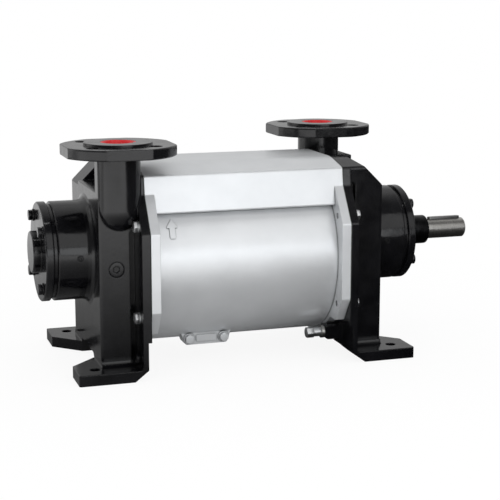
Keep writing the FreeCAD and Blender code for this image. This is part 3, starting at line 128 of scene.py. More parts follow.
def noise(tree, place, size, detail):
    """Noise whose blobs are about size metres wide."""
    made = add_node(tree, "ShaderNodeTexNoise", Scale=1 / size, Detail=detail)
    tree.links.new(place, made.inputs["Vector"])
    return made.outputs["Fac"]


def spread(tree, value, low, high, start=0.3, end=0.7):
    """Map start to end, which is the middle range of a noise, to the numbers low to high."""
    made = add_node(tree, "ShaderNodeMapRange", From_Min=start, From_Max=end, To_Min=low, To_Max=high)
    tree.links.new(value, made.inputs["Value"])
    return made.outputs["Result"]


def tint(tree, value, dark, light):
    """Colour from dark to light by a value from 0 to 1. Each is three numbers or another node's colour."""
    made = tree.nodes.new("ShaderNodeMix")
    made.data_type = "RGBA"
    for name, source in (("A", dark), ("B", light)):
        if isinstance(source, tuple):
            made.inputs[name].default_value = (*source, 1)
        else:
            tree.links.new(source, made.inputs[name])
    tree.links.new(value, made.inputs["Factor"])
    return made.outputs["Result"]


def bump(tree, height, depth, strength, under=None):
    """Bump of a height in metres, on top of another normal when one is given."""
    made = add_node(tree, "ShaderNodeBump", Strength=strength, Distance=depth)
    tree.links.new(height, made.inputs["Height"])
    if under is not None:
        tree.links.new(under, made.inputs["Normal"])
    return made.outputs["Normal"]


print("node helpers ready")

# %% [markdown]
# A new material comes with one Principled shader. The next helper sets the values that are the same all
# over the surface, straight on its sockets, and hands back the graph, the shader and the Object
# coordinates. The edges of a solid are perfectly sharp, and real ones aren't, so another helper bends
# the normal round them. A bevel on every mesh would do the same at the price of many more faces.

# %% Material helpers
finishes = {}
edge_samples = 4


def new_finish(slot_name, metallic, roughness):
    """Finish for one slot: its even values set, its graph and its Object coordinates."""
    material = bpy.data.materials.new(slot_name + "_finish")
    finishes[slot_name] = material
    material.use_nodes = True
    tree = material.node_tree
    shader = tree.nodes["Principled BSDF"]
    shader.inputs["Metallic"].default_value = metallic
    shader.inputs["Roughness"].default_value = roughness
    place = tree.nodes.new("ShaderNodeTexCoord").outputs["Object"]
    return tree, shader, place


def rounded_edges(tree, radius):
    """Normal that softens every hard edge, as paint does when it draws back from a corner."""
    made = tree.nodes.new("ShaderNodeBevel")
    made.samples = edge_samples
    made.inputs["Radius"].default_value = radius
    return made.outputs["Normal"]


def feed(tree, shader, **sources):
    """Join graph outputs to the shader's sockets."""
    for socket, source in sources.items():
        tree.links.new(source, shader.inputs[socket.replace("_", " ")])


print("material helpers ready")

# %% [markdown]
# Seams and the edges round raised marks lie in shade, and on silver paint that shows, so the shade is
# painted into the colour. It could be painted on by hand, but Ambient Occlusion already measures how
# closed in a spot is. Within a reach of a few millimetres it finds the seams only and leaves the wide
# shapes alone.

# %% Painted seam shade helper
seam_samples = 8
seam_closed = 0.35
seam_open = 0.85


def paint_seam_shade(tree, colour, reach, dark):
    """The colour in the open, and a darker painted shade in corners and seams up to a reach wide."""
    openness = add_node(tree, "ShaderNodeAmbientOcclusion", Distance=reach)
    openness.samples = seam_samples
    share = spread(tree, openness.outputs["AO"], 0, 1, seam_closed, seam_open)
    return tint(tree, share, dark, colour)


print("a seam counts as open from", seam_open)

# %% [markdown]
# ## Silver paint
#
# The barrel is cast iron under aluminium paint. The paint shines softly because of tiny flakes, and the
# casting under it is a little uneven. A mirror metal would be too sharp and a grey plastic too dull, so
# the shader is mostly metallic with a wide gloss. Three noises do the rest: flakes under half a
# millimetre change the gloss, a casting skin of about two millimetres lifts the surface, and a broad
# one varies its tone slightly. The painted shade in the seams comes last, and it is what makes the
# cast arrow readable.

# %% Silver paint
silver_dark = (0.68, 0.695, 0.71)
silver_light = (0.735, 0.75, 0.765)
seam_shade_colour = (0.07, 0.075, 0.08)
seam_reach = 3.5 * mm
silver_edge = 0.8 * mm
cloud_size = 45 * mm
skin_size = 2.2 * mm
skin_depth = 0.10 * mm
flake_size = 0.35 * mm
flake_depth = 0.012 * mm


def silver_paint():
    """Satin aluminium paint over a casting."""
    tree, shader, place = new_finish("silver_paint", metallic=0.62, roughness=0.36)
    clouds = spread(tree, noise(tree, place, cloud_size, detail=3), 0, 1)
    in_the_open = tint(tree, clouds, silver_dark, silver_light)
    # painted shade: the colour is darkened in seams and round the raised arrow
    colour = paint_seam_shade(tree, in_the_open, seam_reach, seam_shade_colour)
    flake = noise(tree, place, flake_size, detail=1)
    gloss = spread(tree, flake, low=0.30, high=0.40)
    edge = rounded_edges(tree, silver_edge)
    skin = bump(tree, noise(tree, place, skin_size, detail=3), skin_depth, strength=0.55, under=edge)
    sparkle = bump(tree, flake, flake_depth, strength=0.6, under=skin)
    feed(tree, shader, Base_Color=colour, Roughness=gloss, Normal=sparkle)


silver_paint()
print("made", finishes["silver_paint"].name)

# %% [markdown]
# ## Black paint
#
# The end casings are dipped in gloss black. Their faces are nearly black until they catch a lamp, so
# what one sees is the reflection, broken by the casting under it. The base is close to black, the gloss
# is high, and three bumps carry the look: a shallow one of about a centimetre makes the reflections
# swim, a closer one shows the dimples of the sand, and a fine one gives the orange-peel of thick paint.
# A trace of dust dulls it in places. The soft edge is wide, because thick paint and a worn pattern
# leave no sharp corner.

# %% Black paint
black_dark = (0.0015, 0.0015, 0.002)
black_dusty = (0.005, 0.005, 0.006)
black_edge = 2.2 * mm
black_relief = 0.5
dust_size = 30 * mm
dull_size = 18 * mm
swim_size = 14 * mm
swim_depth = 0.2 * mm
cast_size = 4.5 * mm
cast_depth = 0.09 * mm
peel_size = 1.6 * mm
peel_depth = 0.02 * mm


def black_paint():
    """Gloss black paint over a casting."""
    tree, shader, place = new_finish("black_paint", metallic=0.0, roughness=0.2)
    dust = spread(tree, noise(tree, place, dust_size, detail=4), 0, 1)
    colour = tint(tree, dust, black_dark, black_dusty)
    gloss = spread(tree, noise(tree, place, dull_size, detail=4), low=0.10, high=0.20)
    edge = rounded_edges(tree, black_edge)
    swim = bump(tree, noise(tree, place, swim_size, detail=2), swim_depth, black_relief, edge)
    cast = bump(tree, noise(tree, place, cast_size, detail=3), cast_depth, black_relief, swim)
    peel = bump(tree, noise(tree, place, peel_size, detail=2), peel_depth, black_relief, cast)
    feed(tree, shader, Base_Color=colour, Roughness=gloss, Normal=peel)


black_paint()
print("made", finishes["black_paint"].name)

# %% [markdown]
# ## Bare metals
#
# The shaft end is ground: its lines run round it, so a noise that is squeezed along the shaft and drawn
# out across it makes them. Its key is darker, a painted shade for the shade and dark reflection it
# sits in. Plated bolts are lighter and slightly blue.
# Inside, castings are machined, races are polished and the impellers are bronze. One function makes
# them all, because they differ only in colour, gloss and grain. The lines go where the tool went, and
# each metal says along which axis that was by three factors on its coordinates.

# %% Metals
line_size = 0.22 * mm
stain_size = 9 * mm
metal_edge = 0.4 * mm
grain_relief = 0.5


def stretched(tree, place, factors):
    """Object coordinates multiplied along each axis."""
    made = tree.nodes.new("ShaderNodeMapping")
    made.inputs["Scale"].default_value = factors
    tree.links.new(place, made.inputs["Vector"])
    return made.outputs["Vector"]


def metal(name, dark, light, smooth, rough, grain, depth):
    """Bare metal between two colours and two roughnesses, with a grain of some depth."""
    tree, shader, place = new_finish(name, metallic=1.0, roughness=(smooth + rough) / 2)
    lines = noise(tree, stretched(tree, place, grain), line_size, detail=2)
    stains = noise(tree, place, stain_size, detail=4)
    colour = tint(tree, spread(tree, stains, 0, 1), dark, light)
    gloss = spread(tree, lines, smooth, rough)
    scratches = bump(tree, lines, depth, grain_relief, under=rounded_edges(tree, metal_edge))
    feed(tree, shader, Base_Color=colour, Roughness=gloss, Normal=scratches)


turned_grain = (1.0, 0.04, 0.04)
even_grain = (0.6, 0.6, 0.6)
cast_grain = (0.12, 0.12, 0.12)
metal("ground_steel", (0.50, 0.485, 0.46), (0.60, 0.59, 0.565), 0.26, 0.34, turned_grain, 0.003 * mm)
# painted shade: the key's darker colour stands in for the shade and dark reflection on it
metal("key_steel_painted_shade", (0.16, 0.16, 0.16), (0.24, 0.24, 0.235), 0.26, 0.36, even_grain, 0.004 * mm)
metal("zinc_plate", (0.72, 0.73, 0.74), (0.86, 0.87, 0.88), 0.30, 0.44, even_grain, 0.004 * mm)
metal("black_steel", (0.018, 0.018, 0.019), (0.035, 0.035, 0.037), 0.22, 0.38, turned_grain, 0.01 * mm)
metal("spring_steel", (0.30, 0.30, 0.31), (0.42, 0.42, 0.42), 0.30, 0.42, even_grain, 0.008 * mm)
metal("bronze", (0.38, 0.23, 0.10), (0.55, 0.36, 0.17), 0.34, 0.52, cast_grain, 0.06 * mm)
metal("brass", (0.55, 0.40, 0.16), (0.68, 0.52, 0.24), 0.22, 0.34, even_grain, 0.01 * mm)
metal("cast_iron", (0.16, 0.16, 0.165), (0.26, 0.26, 0.26), 0.40, 0.56, cast_grain, 0.05 * mm)
metal("bearing_steel", (0.62, 0.62, 0.63), (0.74, 0.74, 0.75), 0.08, 0.16, turned_grain, 0.004 * mm)
metal("sealing_ring", (0.50, 0.50, 0.48), (0.62, 0.61, 0.59), 0.30, 0.44, even_grain, 0.01 * mm)
print("finishes so far:", ", ".join(finishes))

# %% [markdown]
# ## Plastic, rubber and seal faces
#
# The transport plugs in the ports are red moulded plastic with a clean gloss and a faint moulding
# texture. The seals hold rubber, carbon and ceramic, and the joints hold pressed sheet, which are dull
# and grainy. They could each have their own graph, but they differ only in a colour range, a gloss
# range and a grain size, so one function serves them all.

# %% Plastics and seal materials
cloud_grains = 20


def moulded(name, dark, light, smooth, rough, grain_size, depth):
    """Non-metal with a fine grain in gloss and height, and colour clouds of many grains."""
    tree, shader, place = new_finish(name, metallic=0.0, roughness=(smooth + rough) / 2)
    grain = noise(tree, place, grain_size, detail=3)
    clouds = noise(tree, place, cloud_grains * grain_size, detail=3)
    colour = tint(tree, spread(tree, clouds, 0, 1), dark, light)
    gloss = spread(tree, grain, smooth, rough)
    feed(tree, shader, Base_Color=colour, Roughness=gloss, Normal=bump(tree, grain, depth, grain_relief))


moulded("red_plastic", (0.42, 0.006, 0.009), (0.52, 0.011, 0.014), 0.22, 0.32, 0.8 * mm, 0.02 * mm)
moulded("seal_rubber", (0.014, 0.014, 0.015), (0.028, 0.028, 0.03), 0.5, 0.7, 0.6 * mm, 0.02 * mm)
moulded("carbon", (0.03, 0.03, 0.032), (0.06, 0.06, 0.06), 0.28, 0.4, 0.3 * mm, 0.005 * mm)
moulded("ceramic", (0.74, 0.71, 0.63), (0.82, 0.80, 0.73), 0.12, 0.2, 0.5 * mm, 0.003 * mm)
moulded("gasket_sheet", (0.07, 0.08, 0.075), (0.13, 0.14, 0.135), 0.7, 0.85, 0.7 * mm, 0.03 * mm)
moulded("valve_sheet", (0.66, 0.65, 0.60), (0.74, 0.73, 0.69), 0.35, 0.5, 1.0 * mm, 0.01 * mm)
print("finishes in all:", len(finishes))

# %% [markdown]
# ## Paint every solid
#
# The record says which material slot each solid has. Reading it from there is shorter than a list of 57
# names, and a new solid is painted without a new line. Each finish above was stored under its slot's
# name, so looking it up is enough.

# %% Assign the finishes
slots = {part["node"]: part["material_slot"] for part in frame["record"]["subparts"]}


def paint(piece, material):
    """Give a piece one material all over."""
    piece.data.materials.clear()
    piece.data.materials.append(material)


for node_name, slot_name in slots.items():
    paint(frame["nodes"][node_name], finishes[slot_name])
print("painted solids:", len(slots))

# %% [markdown]
# ## Modelling by hand, in code
#
# The visible fasteners and plugs deserve more than a plain prism: a real hexagon head has its corners
# turned off, a washer has a broken edge, and a plug has a lip. They are modelled with the same
# operators as at the screen.
#
# Two habits avoid most trouble. Everything is deselected before a primitive is added, because operators
# act on all that is selected. And where only some edges are to change, code selects them by where they
# are.

# %% Selection helpers
def deselect_all():
    """Leave nothing selected and nothing active."""
    for item in bpy.context.view_layer.objects:
        item.select_set(False)
    bpy.context.view_layer.objects.active = None


def make_active(piece):
    """Select one object only and make it the active one."""
    deselect_all()
    piece.select_set(True)
    bpy.context.view_layer.objects.active = piece


def freeze_place(piece):
    """Move an object's place, turn and scale into its mesh, so that it sits at the origin."""
    make_active(piece)
    bpy.ops.object.transform_apply(location=True, rotation=True, scale=True)


def edit(piece):
    """Enter edit mode on one object with all of it selected."""
    make_active(piece)
    bpy.ops.object.mode_set(mode="EDIT")
    bpy.ops.mesh.select_mode(type="VERT")
    bpy.ops.mesh.select_all(action="SELECT")


def leave_edit():
    """Go back to object mode."""
    bpy.ops.object.mode_set(mode="OBJECT")


print("selection helpers ready")

# %% [markdown]
# A lathe makes washers, plugs, rings and sleeves. Blender's spin does the same: an outline is drawn in
# the XZ plane and turned about Z. The outline starts as a plane merged to one vertex and grows by
# extruding that vertex, as one clicks out a profile by hand. After the spin the seam is merged and the
# normals are made to face out.
#
# A corner of the outline can carry a softness. It is drawn as a few short steps, which reads as a soft
# edge.

# %% Turning a profile
turn_steps = 64
corner_steps = 4
merge_distance = 0.004 * mm


def soft_outline(corners):
    """Points of an outline of (radius, height, softness) corners, with each soft one drawn in steps."""
    points = []
    for index, (u, v, soft) in enumerate(corners):
        here = Vector((u, v))
        if soft == 0:
            points.append(here)
            continue
        to_last = (Vector(corners[index - 1][:2]) - here).normalized()
        to_next = (Vector(corners[(index + 1) % len(corners)][:2]) - here).normalized()
        start = here + to_last * soft
        end = here + to_next * soft
        for step in range(corner_steps + 1):
            share = step / corner_steps
            points.append(start.lerp(here, share).lerp(here.lerp(end, share), share))
    return points


def turned(name, corners):
    """Solid turned about Z from an outline that starts and ends on its axis, or closes on itself."""
    points = soft_outline(corners)
    deselect_all()
    bpy.ops.mesh.primitive_plane_add(size=mm, location=(points[0].x, 0, points[0].y))
    piece = bpy.context.object
    piece.name = name
    freeze_place(piece)
    edit(piece)
    bpy.ops.mesh.merge(type="CENTER")
    closed = points[0].x > 0
    path = points[1:] + points[:1] if closed else points[1:]
    last = points[0]
    for point in path:
        step = (point.x - last.x, 0, point.y - last.y)
        bpy.ops.mesh.extrude_region_move(TRANSFORM_OT_translate={"value": step})
        last = point
    bpy.ops.mesh.select_all(action="SELECT")
    bpy.ops.mesh.spin(steps=turn_steps, angle=math.tau, center=(0, 0, 0), axis=(0, 0, 1))
    bpy.ops.mesh.select_all(action="SELECT")
    bpy.ops.mesh.remove_doubles(threshold=merge_distance)
    bpy.ops.mesh.normals_make_consistent(inside=False)
    leave_edit()
    return piece


print("a turned profile has", turn_steps, "steps round")

# %% [markdown]
# A hexagon head could be a six-sided cylinder with a bevel, but a real one is cut from a bar and then
# turned, so its corners end in arcs. The same result comes from the same steps: a six-sided prism, and
# a wide cone that leaves only what lies inside both. A boolean modifier does the cut, and a narrow
# bevel breaks the edges afterwards.

# %% Hexagon heads and other cuts
turned_slope = math.radians(30)
turned_share = 0.48
cone_sides = 72
sharp_angle = math.radians(30)
head_edge = 0.25 * mm


def use_modifier(piece, kind, **settings):
    """Add a modifier, set it and apply it."""
    make_active(piece)
    modifier = piece.modifiers.new(kind.lower(), kind)
    for name, value in settings.items():
        setattr(modifier, name, value)
    bpy.ops.object.modifier_apply(modifier=modifier.name)


def combine(piece, tool, operation):
    """Boolean of two closed pieces, after which the tool is thrown away."""
    use_modifier(piece, "BOOLEAN", object=tool, operation=operation, solver="EXACT")
    bpy.data.objects.remove(tool)


def break_edges(piece, width):
    """Bevel every sharp edge."""
    use_modifier(
        piece, "BEVEL", width=width, segments=2, limit_method="ANGLE", angle_limit=sharp_angle
    )


def hexagon_prism(width, height, base):
    """Six-sided prism standing on a height, with its width across flats."""
    deselect_all()
    middle = (0, 0, base + height / 2)
    corner_radius = width / math.sqrt(3)
    bpy.ops.mesh.primitive_cylinder_add(vertices=6, radius=corner_radius, depth=height, location=middle)
    prism = bpy.context.object
    freeze_place(prism)
    return prism


def hexagon_head(width, height, base):
    """Hexagon head whose upper corners are turned to a cone."""
    head = hexagon_prism(width, height, base)
    deselect_all()
    top_radius = turned_share * width
    low_radius = top_radius + 2 * height / math.tan(turned_slope)
    bpy.ops.mesh.primitive_cone_add(
        vertices=cone_sides, radius1=low_radius, radius2=top_radius, depth=2 * height, location=(0, 0, base)
    )
    combine(head, bpy.context.object, "INTERSECT")
    break_edges(head, head_edge)
    return head


print("heads are turned at", round(math.degrees(turned_slope)), "degrees")

# %% [markdown]
# Everything is modelled standing on z = 0 and pointing up. Afterwards it is joined, turned towards its
# direction, moved to its seat and frozen there, so that the object stays at the origin with its place
# in its mesh. What repeats is modelled once, and each copy gets a mesh of its own. Smooth shading by
# angle keeps flats flat and round faces round.

# %% Placing helpers
smooth_angle = math.radians(25)


def joined(name, pieces):
    """One mesh from several pieces."""
    deselect_all()
    for piece in pieces:
        piece.select_set(True)
    bpy.context.view_layer.objects.active = pieces[0]
    if len(pieces) > 1:
        bpy.ops.object.join()
    whole = bpy.context.view_layer.objects.active
    whole.name = name
    return whole


def placed_copy(pattern, seat, direction):
    """Copy of a pattern with its own mesh, standing on a seat and pointing along a direction."""
    copy = pattern.copy()
    copy.data = pattern.data.copy()
    scene.collection.objects.link(copy)
    turn = Vector((0, 0, 1)).rotation_difference(Vector(direction)).to_matrix().to_4x4()
    copy.matrix_world = Matrix.Translation(seat) @ turn
    freeze_place(copy)
    return copy


def finish_piece(piece, slot_name, body, *nodes):
    """Shade, paint and hand a piece over: it rides on a body and stands for its solids."""
    make_active(piece)
    bpy.ops.object.shade_smooth_by_angle(angle=smooth_angle)
    paint(piece, finishes[slot_name])
    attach(piece, body)
    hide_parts(*nodes)
    faces = len(piece.data.polygons)
    print(piece.name, "has", faces, "faces and stands for", ", ".join(nodes))


def finish_copies(name, pattern, places, slot_name, body, node):
    """Copies of one pattern, each on its own seat and in its own direction, joined as one piece."""
    copies = [placed_copy(pattern, seat, direction) for seat, direction in places]
    bpy.data.objects.remove(pattern)
    finish_piece(joined(name, copies), slot_name, body, node)


print("placing helpers ready")

# %% [markdown]
# ## Bolts
#
# Eight plated bolts clamp the end casings to the barrel, and eight painted ones hold the bearing
# covers. Each has a turned hexagon, the low collar under it, a washer with soft edges and its shank.
# The threads stay hidden in the castings, so a plain shank is enough. One pattern serves for all
# sixteen, and only the length of the shank differs.

# %% Bolt pattern
washer_radius = 8.0 * mm
washer_hole_radius = 4.2 * mm
washer_thickness = 1.6 * mm
washer_softness = 0.35 * mm
head_width = 13.0 * mm
head_height = 5.5 * mm
collar_radius = 5.9 * mm
collar_height = 0.5 * mm
shank_radius = 4.0 * mm
tip_softness = 0.6 * mm


def bolt_pattern(shank_length):
    """Bolt with its washer, standing on its seat."""
    washer = turned("washer", [
        (washer_hole_radius, 0, 0),
        (washer_radius, 0, washer_softness),
        (washer_radius, washer_thickness, washer_softness),
        (washer_hole_radius, washer_thickness, 0),
    ])
    shank = turned("shank", [
        (0, -shank_length, 0),
        (shank_radius, -shank_length, tip_softness),
        (shank_radius, washer_thickness, 0),
        (collar_radius, washer_thickness, 0),
        (collar_radius, washer_thickness + 2 * collar_height, 0),
        (0, washer_thickness + 2 * collar_height, 0),
    ])
    head = hexagon_head(head_width, head_height - collar_height, washer_thickness + collar_height)
    return joined("bolt_pattern", [head, washer, shank])


def seat_and_shank(node_name, side):
    """Where the bolts of a node seat along X, and how long their shanks are."""
    low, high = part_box(node_name)
    stack = washer_thickness + head_height
    seat_x = high.x - stack if side > 0 else low.x + stack
    tip_x = low.x if side > 0 else high.x
    return seat_x, abs(seat_x - tip_x)


print("bolt head", round(head_width / mm, 1), "mm across flats")

# %% [markdown]
# The casing bolts stand at the four corners of the joint. Their seats could be typed in, but the solids
# already hold them: they are the corners of the node's box, less the washer's radius, so the bolts stay
# right if the pump is built again at another size.

# %% Casing bolts
def casing_bolts(node_name, side):
    """Four joint bolts of one end casing; side is +1 at the suction end."""
    low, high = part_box(node_name)
    seat_x, shank_length = seat_and_shank(node_name, side)
    places = []
    for y in (low.y + washer_radius, high.y - washer_radius):
        for z in (low.z + washer_radius, high.z - washer_radius):
            places.append(((seat_x, y, z), (side, 0, 0)))
    pattern = bolt_pattern(shank_length)
    finish_copies(node_name + "_plated", pattern, places, "zinc_plate", "pump", node_name)


casing_bolts("suction_casing_bolts", 1)
casing_bolts("discharge_casing_bolts", -1)

# %% [markdown]
# The cover bolts sit on a circle that is turned a little from the diagonal. The circle's centre is the
# middle of the node's box, because four bolts at right angles span it evenly. Half the box in Y, less
# the washer, is how far the widest bolt lies to the side. The circle then gives its height, so the
# angle isn't typed in.

# %% Cover bolts
cover_bolt_circle = 55.0 * mm


def cover_bolts(node_name, side):
    """Four bolts round one bearing cover."""
    low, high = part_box(node_name)
    seat_x, shank_length = seat_and_shank(node_name, side)
    middle = (low + high) / 2
    reach = (high - low) / 2
    wide = reach.y - washer_radius
    narrow = math.sqrt(max(cover_bolt_circle ** 2 - wide ** 2, 0))
    places = []
    for quarter in range(4):
        turn = Matrix.Rotation(math.radians(90 * quarter), 2)
        y, z = turn @ Vector((side * wide, narrow))
        places.append(((seat_x, middle.y + y, middle.z + z), (side, 0, 0)))
    pattern = bolt_pattern(shank_length)
    finish_copies(node_name + "_painted", pattern, places, "black_paint", "pump", node_name)


cover_bolts("cover_bolts_drive_end", 1)
cover_bolts("cover_bolts_free_end", -1)

# %% [markdown]
# ## Plugs
#
# The drain lug, the legs, the panels of the casings and the bearing housings are closed by plugs. The
# drain lug has two hexagon plugs with a turned collar, painted over with the barrel. Each could be one
# turned piece with a hexagon cut out of it, but a collar and a head that touch are simpler, and the
# paint hides the joint.

# %% Lug plugs
plug_collar_radius = 7.5 * mm
plug_collar_height = 2.0 * mm
plug_collar_softness = 0.9 * mm
plug_head_width = 11.0 * mm
plug_head_height = 4.5 * mm
thread_radius = 5.0 * mm
thread_softness = 0.8 * mm


def lug_plug_pattern(thread_length):
    """Hexagon plug with a collar that is domed towards the head."""
    collar = turned("collar", [
        (0, -thread_length, 0),
        (thread_radius, -thread_length, thread_softness),
        (thread_radius, 0, 0),
        (plug_collar_radius, 0, 0),
        (plug_collar_radius, plug_collar_height, plug_collar_softness),
        (0, plug_collar_height, 0),
    ])
    head = hexagon_head(plug_head_width, plug_head_height, plug_collar_height)
    return joined("lug_plug_pattern", [head, collar])


def lug_plugs():
    """Two plugs in the drain lug, painted silver with the barrel."""
    low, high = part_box("lug_plugs")
    seat_y = low.y + plug_collar_height + plug_head_height
    middle_z = (low.z + high.z) / 2
    places = []
    for x in (low.x + plug_collar_radius, high.x - plug_collar_radius):
        places.append(((x, seat_y, middle_z), (0, -1, 0)))
    pattern = lug_plug_pattern(high.y - seat_y)
    finish_copies("lug_plugs_painted", pattern, places, "silver_paint", "pump", "lug_plugs")


lug_plugs()

# %% [markdown]
# One leg of each casing has a low hexagon plug in its bolt channel, with a corner at the top. Two places
# could be typed in, but both plugs share one node, so the two ends of its box say where they are. Each
# looks along the shaft, away from the barrel.

# %% Leg plugs
leg_head_height = 5.5 * mm
leg_head_turn = math.radians(30)
leg_shank_radius = 4.0 * mm
leg_shank_length = 4.6 * mm
leg_shank_rise = 0.5 * mm


def leg_plugs():
    """Painted hexagon plug in each leg's channel, pointing away from the barrel."""
    low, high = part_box("leg_plugs")
    middle_z = (low.z + high.z) / 2
    half_width = head_width / 2
    shank = turned("leg_shank", [
        (0, -leg_shank_length, 0),
        (leg_shank_radius, -leg_shank_length, 0),
        (leg_shank_radius, leg_shank_rise, 0),
        (0, leg_shank_rise, 0),
    ])
    head = hexagon_head(head_width, leg_head_height, 0)
    head.rotation_euler.z = leg_head_turn
    pattern = joined("leg_plug", [head, shank])
    freeze_place(pattern)
    right_seat = (high.x - leg_head_height, high.y - half_width, middle_z)
    left_seat = (low.x + leg_head_height, low.y + half_width, middle_z)
    places = [(right_seat, (1, 0, 0)), (left_seat, (-1, 0, 0))]
    finish_copies("leg_plugs_painted", pattern, places, "black_paint", "pump", "leg_plugs")


leg_plugs()

# %% [markdown]
# The drain plug is a long one: a stem, then a tall hexagon, on a soft metal ring. It points along the
# shaft under the barrel, where a spanner reaches it. One prism could be thinned for the stem, but a
# turned stem is rounder, so the head of the bolts is used again and starts a hair inside the stem. The
# node is longer than both together, and what is left over is the thread.

# %% Drain plugs
drain_head_width = 13.0 * mm
drain_head_height = 10.0 * mm
drain_head_overlap = 0.2 * mm
drain_stem_length = 11.0 * mm
drain_stem_radius = 6.2 * mm
drain_stem_softness = 0.4 * mm


def drain_plug(node_name, side):
    """Plated drain plug pointing inwards; side is +1 at the suction end."""
    low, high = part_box(node_name)
    reach = drain_stem_length + drain_head_height
    seat_x = low.x + reach if side > 0 else high.x - reach
    thread_length = (high.x - low.x) - reach
    stem = turned("drain_stem", [
        (0, -thread_length, 0),
        (thread_radius, -thread_length, thread_softness),
        (thread_radius, 0, 0),
        (drain_stem_radius, 0, drain_stem_softness),
        (drain_stem_radius, drain_stem_length, 0),
        (0, drain_stem_length, 0),
    ])
    head = hexagon_head(drain_head_width, drain_head_height, drain_stem_length - drain_head_overlap)
    pattern = joined("drain_pattern", [head, stem])
    seat = (seat_x, (low.y + high.y) / 2, (low.z + high.z) / 2)
    finish_copies(node_name + "_plated", pattern, [(seat, (-side, 0, 0))], "zinc_plate", "pump", node_name)


drain_plug("suction_drain_plug", 1)
drain_plug("discharge_drain_plug", -1)

# %% [markdown]
# Under each port the panel of the casing has a socket plug: a round plug, flush with the panel, with a
# hexagon hole and a ring of shadow round it. The hole could be modelled face by face, but a hexagon
# taken out of a round face is just what a boolean does.

# %% Socket plugs
panel_plug_length = 5.0 * mm
panel_plug_rim = 0.9 * mm
panel_socket_width = 8.0 * mm
panel_socket_depth = 3.0 * mm


def socket_plug_pattern(radius, length, socket_width, socket_depth, rim):
    """Round plug with a hexagon socket and a soft rim, its outer face on z = 0."""
    body = turned("socket_body", [(0, -length, 0), (radius, -length, 0), (radius, 0, rim), (0, 0, 0)])
    cut = hexagon_prism(socket_width, 2 * socket_depth, -socket_depth)
    combine(body, cut, "DIFFERENCE")
    return body


def panel_plugs():
    """Socket plug in the panel under each port, on the back of one casing and the front of the other."""
    low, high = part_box("panel_plugs")
    radius = (high.z - low.z) / 2
    middle_z = (high.z + low.z) / 2
    pattern = socket_plug_pattern(
        radius, panel_plug_length, panel_socket_width, panel_socket_depth, panel_plug_rim
    )
    back_seat = (high.x - radius, high.y, middle_z)
    front_seat = (low.x + radius, low.y, middle_z)
    places = [(back_seat, (0, 1, 0)), (front_seat, (0, -1, 0))]
    finish_copies("panel_plugs_painted", pattern, places, "black_paint", "pump", "panel_plugs")


panel_plugs()

# %% [markdown]
# The bearing housings have a small socket screw at the front and another at the back. They could be
# modelled anew, but the pattern above gives them at a smaller size.

# %% Housing plugs
housing_plug_length = 8.6 * mm
housing_plug_rim = 0.5 * mm
housing_socket_width = 3.6 * mm
housing_socket_depth = 2.0 * mm


def housing_plugs(node_name):
    """Two small socket screws in the sides of a bearing housing."""
    low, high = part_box(node_name)
    radius = (high.x - low.x) / 2
    middle = (low + high) / 2
    pattern = socket_plug_pattern(
        radius, housing_plug_length, housing_socket_width, housing_socket_depth, housing_plug_rim
    )
    back_seat = (middle.x, high.y, middle.z)
    front_seat = (middle.x, low.y, middle.z)
    places = [(back_seat, (0, 1, 0)), (front_seat, (0, -1, 0))]
    finish_copies(node_name + "_painted", pattern, places, "black_paint", "pump", node_name)


housing_plugs("housing_plugs_drive_end")
housing_plugs("housing_plugs_free_end")

# %% [markdown]
# ## Red transport plugs
#
# A pump leaves the works with its ports closed by soft plastic plugs. Each is a thin dished cup: a lip
# that follows the chamfer of the bore up to the flange face, a wall that grips the bore, and a sunk
# floor with a raised ring. A flat red disc would be quicker, but the shade inside the dish is what
# shows that the plug is hollow, so the whole section is drawn with soft corners and turned.

# %% Port plugs
plug_wall = 1.6 * mm
wall_softness = 0.5 * mm
dish_depth = 7.0 * mm
dish_softness = 1.2 * mm
ring_start = 0.30
ring_end = 0.45
ring_slope = 0.03
ring_height = 0.8 * mm
ring_softness = 0.4 * mm
throat_drop = 0.6 * mm
throat_softness = 0.8 * mm
lip_drop = 1.8 * mm
lip_rise = 1.1 * mm
lip_inner_softness = 0.3 * mm
lip_outer_softness = 0.2 * mm
lip_root = 0.3 * mm


def port_plug(node_name, body):
    """Dished plastic plug in one port."""
    low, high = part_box(node_name)
    lip = (high.x - low.x) / 2
    length = high.z - low.z
    wall = lip - lip_drop
    pattern = turned("port_plug", [
        (0, -dish_depth, 0),
        (ring_start * wall, -dish_depth, ring_softness),
        ((ring_start + ring_slope) * wall, ring_height - dish_depth, ring_softness),
        ((ring_end - ring_slope) * wall, ring_height - dish_depth, ring_softness),
        (ring_end * wall, -dish_depth, ring_softness),
        (wall - 2.0 * plug_wall, -dish_depth, dish_softness),
        (lip - plug_wall, -throat_drop, throat_softness),
        (lip + lip_rise - 0.5 * plug_wall, lip_rise, lip_inner_softness),
        (lip + lip_rise, lip_rise, lip_outer_softness),
        (wall, -lip_drop - lip_root, 0),
        (wall, -length, wall_softness),
        (wall - plug_wall, -length, wall_softness),
        (wall - plug_wall, -dish_depth - plug_wall, throat_softness),
        (0, -dish_depth - plug_wall, 0),
    ])
    seat = ((low.x + high.x) / 2, (low.y + high.y) / 2, high.z)
    finish_copies(node_name + "_moulded", pattern, [(seat, (0, 0, 1))], "red_plastic", body, node_name)


port_plug("suction_port_plug", "suction_plug")
port_plug("discharge_port_plug", "discharge_plug")

# %% [markdown]
# ## Shaft sleeve
#
# Where the shaft leaves the cover it runs through a blackened sleeve with a well rounded nose. A
# cylinder with a bevel would need its bore cut out, so the sleeve is one more turned ring, whose
# outline closes on itself.

# %% Sleeve
sleeve_bore = 17.05 * mm
sleeve_nose = 3.0 * mm
sleeve_back_softness = 0.6 * mm


